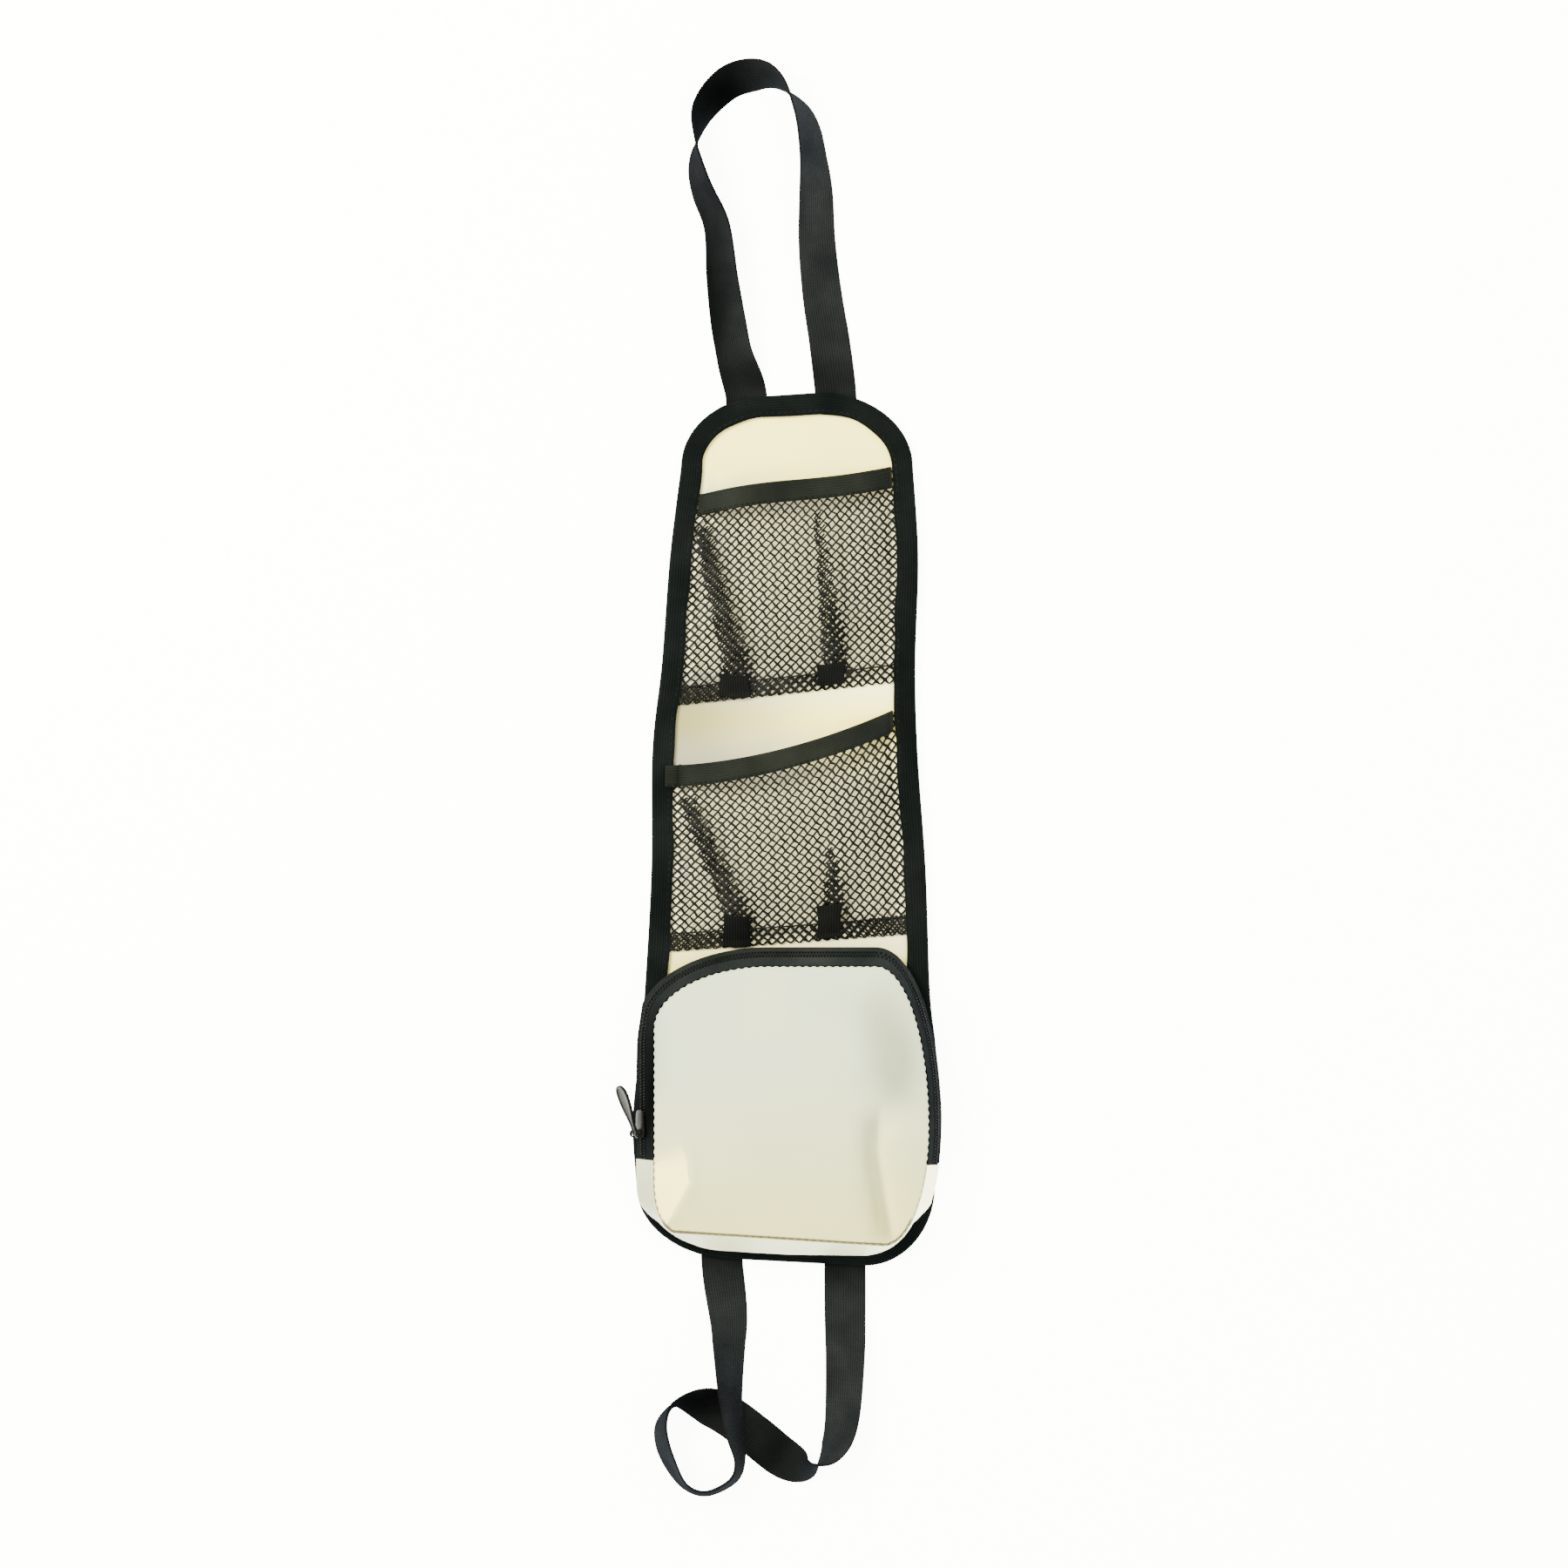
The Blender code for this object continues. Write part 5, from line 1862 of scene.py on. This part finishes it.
    def lug_plate(self, name: str, near: float, far: float, outer: float) -> Piece:
        """Model one lug: an arch on the slider's upper plate, bored for the pin.

        Args:
            name: the lug's name.
            near: where it starts across the slider.
            far: where it ends.
            outer: the upper plate's outer face.
        Returns:
            The lug.
        """
        radius = self.pin + LEVELS.gap + self.lug_wall
        arch = [(radius, -self.pivot_rise - 0.0004)]
        arch += [(radius * math.cos(math.radians(a)), radius * math.sin(math.radians(a))) for a in range(0, 181, 20)]
        arch.append((-radius, -self.pivot_rise - 0.0004))
        lug = self.slab(name, arch, 0.0, far - near, 0.00022)
        turn = QUARTER_TURN.copy()
        turn.translation = (-self.pivot_back, far, outer + self.pivot_rise)
        lug.data.transform(turn)
        bore = self.rod(self.pin + LEVELS.gap, 0.01)
        bore.data.transform(Matrix.Translation((-self.pivot_back, (near + far) / 2, outer + self.pivot_rise)))
        apply_modifier(lug, "BOOLEAN", operation="DIFFERENCE", solver="EXACT", object=bore)
        bpy.data.objects.remove(bore, do_unlink=True)
        return lug

    def build_puller(self) -> Piece:
        """Model the puller: a leaf with a raised rim, hung on its pin.

        Returns:
            The puller.
        """
        neck, wide = self.neck / 2, self.leaf_width / 2
        stations = ((0.25, 0.42), (0.36, 0.62), (0.48, 0.80), (0.60, 0.93), (0.72, 1.0), (0.82, 0.99), (0.90, 0.88),
                    (0.96, 0.62), (0.99, 0.32))
        edge = [(-self.heel, neck * 0.8), (-self.heel * 0.5, neck), (self.neck_length, neck)]
        edge += [(self.leaf_length * x, max(neck, wide * y)) for x, y in stations]
        outline = edge + [(self.leaf_length, 0.0)] + [(x, -y) for x, y in reversed(edge)]
        half = self.leaf_cloth / 2
        leaf = self.slab("puller_leaf", outline, -half, half, 0.0003, 0.0004)
        rod = self.rod(self.pin, (neck + LEVELS.gap + self.lug) * 2)
        round_edges(rod, 0.0002)
        tilt = Matrix.Rotation(-math.radians(self.angle), 4, "Y")
        tilt.translation = (-self.pivot_back, 0.0, self.levels[1] + self.pivot_rise)
        return self.merge("zip_puller_leaf", [leaf, rod], self.frame() @ tilt)

    def build(self) -> None:
        """Model the slider and the puller, and dress them."""
        metal = self.finishes.metal
        dress(self.build_slider(), metal, Slot.METAL, "zip_slider", body=Body.SLIDER)
        dress(self.build_puller(), metal, Slot.METAL, "zip_puller", body=Body.PULLER)


@dataclass
class Strap(Part):
    """An elastic strap on edge, laid along its route of x, y, roll in degrees and height."""

    name: str
    node: str
    stations: Sequence[Tuple[float, float, float, float]]
    width: float = 0.0200
    cloth: float = 0.0012
    cup: float = 0.0007
    steps: int = 12
    columns: int = 12

    def rows(self) -> List[Tuple[Vector, Vector, Vector]]:
        """Return the strap's middle, its width and its face along its route.

        Returns:
            For each row a point, the direction across and the direction out of the strap.
        """
        points = smooth_route(self.stations, self.steps)
        found = []
        for i, (x, y, roll, lift) in enumerate(points):
            before = points[max(i - 1, 0)]
            after = points[min(i + 1, len(points) - 1)]
            along = Vector((after[0] - before[0], after[1] - before[1], 0)).normalized()
            turn = math.radians(max(roll, 0.0))
            across = Vector((along.y, -along.x, 0)) * math.cos(turn) + Vector((0, 0, math.sin(turn)))
            level = self.width / 2 * abs(math.sin(turn)) + self.cloth / 2 + max(lift, 0.0)
            found.append((Vector((x, y, level)), across, along.cross(across).normalized()))
        return found

    def build(self) -> None:
        """Model the strap and dress it."""
        rows = self.rows()
        last = len(rows) - 1

        def place(u: float, v: float) -> Vector:
            """Return the strap's point across and along.

            Args:
                u: the share across.
                v: the share along.
            Returns:
                The point.
            """
            middle, across, face = rows[round(v * last)]
            cup = self.cup * math.sin(math.pi * min(v * 12, (1 - v) * 12, 0.5)) * (1 - (2 * u - 1) ** 2)
            found = middle + across * (u - 0.5) * self.width + face * cup
            found.z = max(found.z, self.cloth / 2)
            return found

        length = path_length([row[0] for row in rows])
        strap = warped_grid(self.name, self.columns, last, place, (self.width, length))
        thicken(strap, self.cloth, 0.0003)
        paint(strap, cloth_shade, "shade")
        dress(strap, self.finishes.elastic, Slot.ELASTIC, self.node)


TOP_ROUTE = (
    (-0.0202, 0.1990, 0, 0), (-0.0206, 0.2110, 0, 0), (-0.0258, 0.2276, 29, 0), (-0.0290, 0.2444, 33, 0),
    (-0.0319, 0.2654, 42, 0), (-0.0344, 0.2898, 53, 0), (-0.0412, 0.3066, 60, 0), (-0.0445, 0.3192, 70, 0),
    (-0.0445, 0.3305, 90, 0), (-0.0407, 0.3461, 122, 0), (-0.0290, 0.3591, 137, 0), (-0.0155, 0.3629, 133, 0),
    (-0.0046, 0.3594, 104, 0), (0.0050, 0.3486, 72, 0), (0.0097, 0.3377, 58, 0), (0.0122, 0.3221, 50, 0),
    (0.0134, 0.3066, 38, 0), (0.0139, 0.2822, 28, 0), (0.0164, 0.2570, 18, 0), (0.0197, 0.2360, 10, 0),
    (0.0225, 0.2135, 0, 0), (0.0231, 0.2008, 0, 0),
)
BOTTOM_ROUTE = (
    (-0.0321, -0.1965, 0, 0), (-0.0318, -0.2105, 0, 0), (-0.0287, -0.2352, 27, 0), (-0.0284, -0.2500, 42, 0.0012),
    (-0.0279, -0.2692, 56, 0.0030), (-0.0260, -0.2890, 69, 0.0034), (-0.0232, -0.3026, 77, 0.0030),
    (-0.0265, -0.3128, 78, 0.0004), (-0.0395, -0.3192, 79, 0), (-0.0504, -0.3150, 78, 0),
    (-0.0584, -0.3016, 70, 0), (-0.0613, -0.2898, 72, 0), (-0.0592, -0.2814, 84, 0), (-0.0546, -0.2762, 100, 0),
    (-0.0446, -0.2762, 138, 0), (-0.0349, -0.2793, 170, 0), (-0.0260, -0.2846, 180, 0),
    (-0.0147, -0.2932, 180, 0), (-0.0030, -0.3024, 172, 0), (0.0075, -0.3070, 138, 0), (0.0139, -0.3050, 96, 0),
    (0.0210, -0.2982, 58, 0), (0.0256, -0.2848, 38, 0), (0.0273, -0.2554, 22, 0), (0.0273, -0.2330, 8, 0),
    (0.0273, -0.2130, 0, 0), (0.0273, -0.1995, 0, 0),
)


@dataclass
class Studio:
    """The camera, the white table and the lights."""

    distance: float = 3.0
    sensor: float = 36.0
    warm: Sequence[float] = (1.0, 0.95, 0.62)
    sky: float = 2.3
    glow: float = 10.5

    def camera(self) -> None:
        """Look straight down, as the photograph does."""
        middle = from_photo(PHOTO_MIDDLE)
        frame_width = PHOTO_SIZE * PIXEL
        data = bpy.data.cameras.new("camera")
        data.type = "PERSP"
        data.sensor_width = self.sensor
        data.lens = self.sensor * self.distance / frame_width
        data.dof.use_dof = False
        camera = bpy.data.objects.new("camera", data)
        camera.location = (middle.x, middle.y, self.distance)
        bpy.context.scene.collection.objects.link(camera)
        bpy.context.scene.camera = camera

    def light(self, name: str, place: Sequence[float], size: float, power: float) -> None:
        """Hang one soft square light that faces the organizer.

        Args:
            name: the light's name.
            place: where it hangs.
            size: the length of its sides.
            power: its power in watts.
        """
        data = bpy.data.lights.new(name, "AREA")
        data.size = size
        data.energy = power
        data.color = self.warm
        lamp = bpy.data.objects.new(name, data)
        lamp.location = place
        lamp.rotation_euler = (-Vector(place)).to_track_quat("-Z", "Y").to_euler()
        bpy.context.scene.collection.objects.link(lamp)

    def floor(self) -> None:
        """Lay the white table under the organizer."""
        table = primitive(bpy.ops.mesh.primitive_plane_add, "table", size=8.0)
        bench = NodeBench("table_white")
        bench.join("Base Color", bench.ramp(bench.noise(2.0), [(0.3, (0.93, 0.93, 0.93)), (0.7, (0.95, 0.95, 0.95))]))
        bench.set(Roughness=0.9, Specular_IOR_Level=0.1, Emission_Strength=self.glow)
        bench.shader.inputs["Emission Color"].default_value = (1.0, 1.0, 1.0, 1.0)
        table.data.materials.append(bench.material)
        table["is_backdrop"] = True

    def build(self) -> None:
        """Set up the camera, the table, the lights and the sky."""
        self.camera()
        self.floor()
        self.light("key", (-1.0, 0.7, 1.5), 0.8, 130.0)
        self.light("fill", (1.1, -0.4, 1.9), 1.6, 40.0)
        world = bpy.data.worlds.new("sky")
        world.use_nodes = True
        world.node_tree.nodes["Background"].inputs["Color"].default_value = (*self.warm, 1.0)
        world.node_tree.nodes["Background"].inputs["Strength"].default_value = self.sky
        bpy.context.scene.world = world


def main() -> None:
    """Dress the organizer, piece by piece."""
    logging.basicConfig(level=logging.INFO, format="%(name)s %(message)s")
    Studio().build()
    finishes = Finishes()
    pouch = Pouch(finishes)
    parts = (
        Panel(finishes),
        Binding(finishes),
        Pocket(finishes, "upper_pocket", (0.1588, 0.1743), (0.0588, 0.0706), 1.0, 0.0120,
               (((826, 774), (860, 800)), ((938, 761), (969, 786))),
               (((846, 792), (800, 606), 16.0, 8.0), ((954, 778), (931, 582), 15.0, 1.5)), 0.0011, False),
        Pocket(finishes, "lower_pocket", (0.0294, 0.0584), (-0.0596, -0.0508), 1.8, 0.0130,
               (((831, 1049), (861, 1087)), ((938, 1037), (965, 1076))),
               (((846, 1062), (783, 915), 16.0, 7.0), ((951, 1050), (947, 968), 14.0, 1.0)), 0.0, True),
        pouch,
        Metalwork(finishes, pouch),
        Strap(finishes, "top_elastic_strap", "top_strap", TOP_ROUTE),
        Strap(finishes, "bottom_elastic_strap", "bottom_strap", BOTTOM_ROUTE),
    )
    for part in parts:
        part.build()
    shown_low, shown_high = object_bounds()
    for name, box in (("cad", CAD_BOX), ("shown", (shown_low, shown_high))):
        LOG.info("%s box: %s to %s", name, tuple(box[0]), tuple(box[1]))


if __name__ == "__main__":
    main()
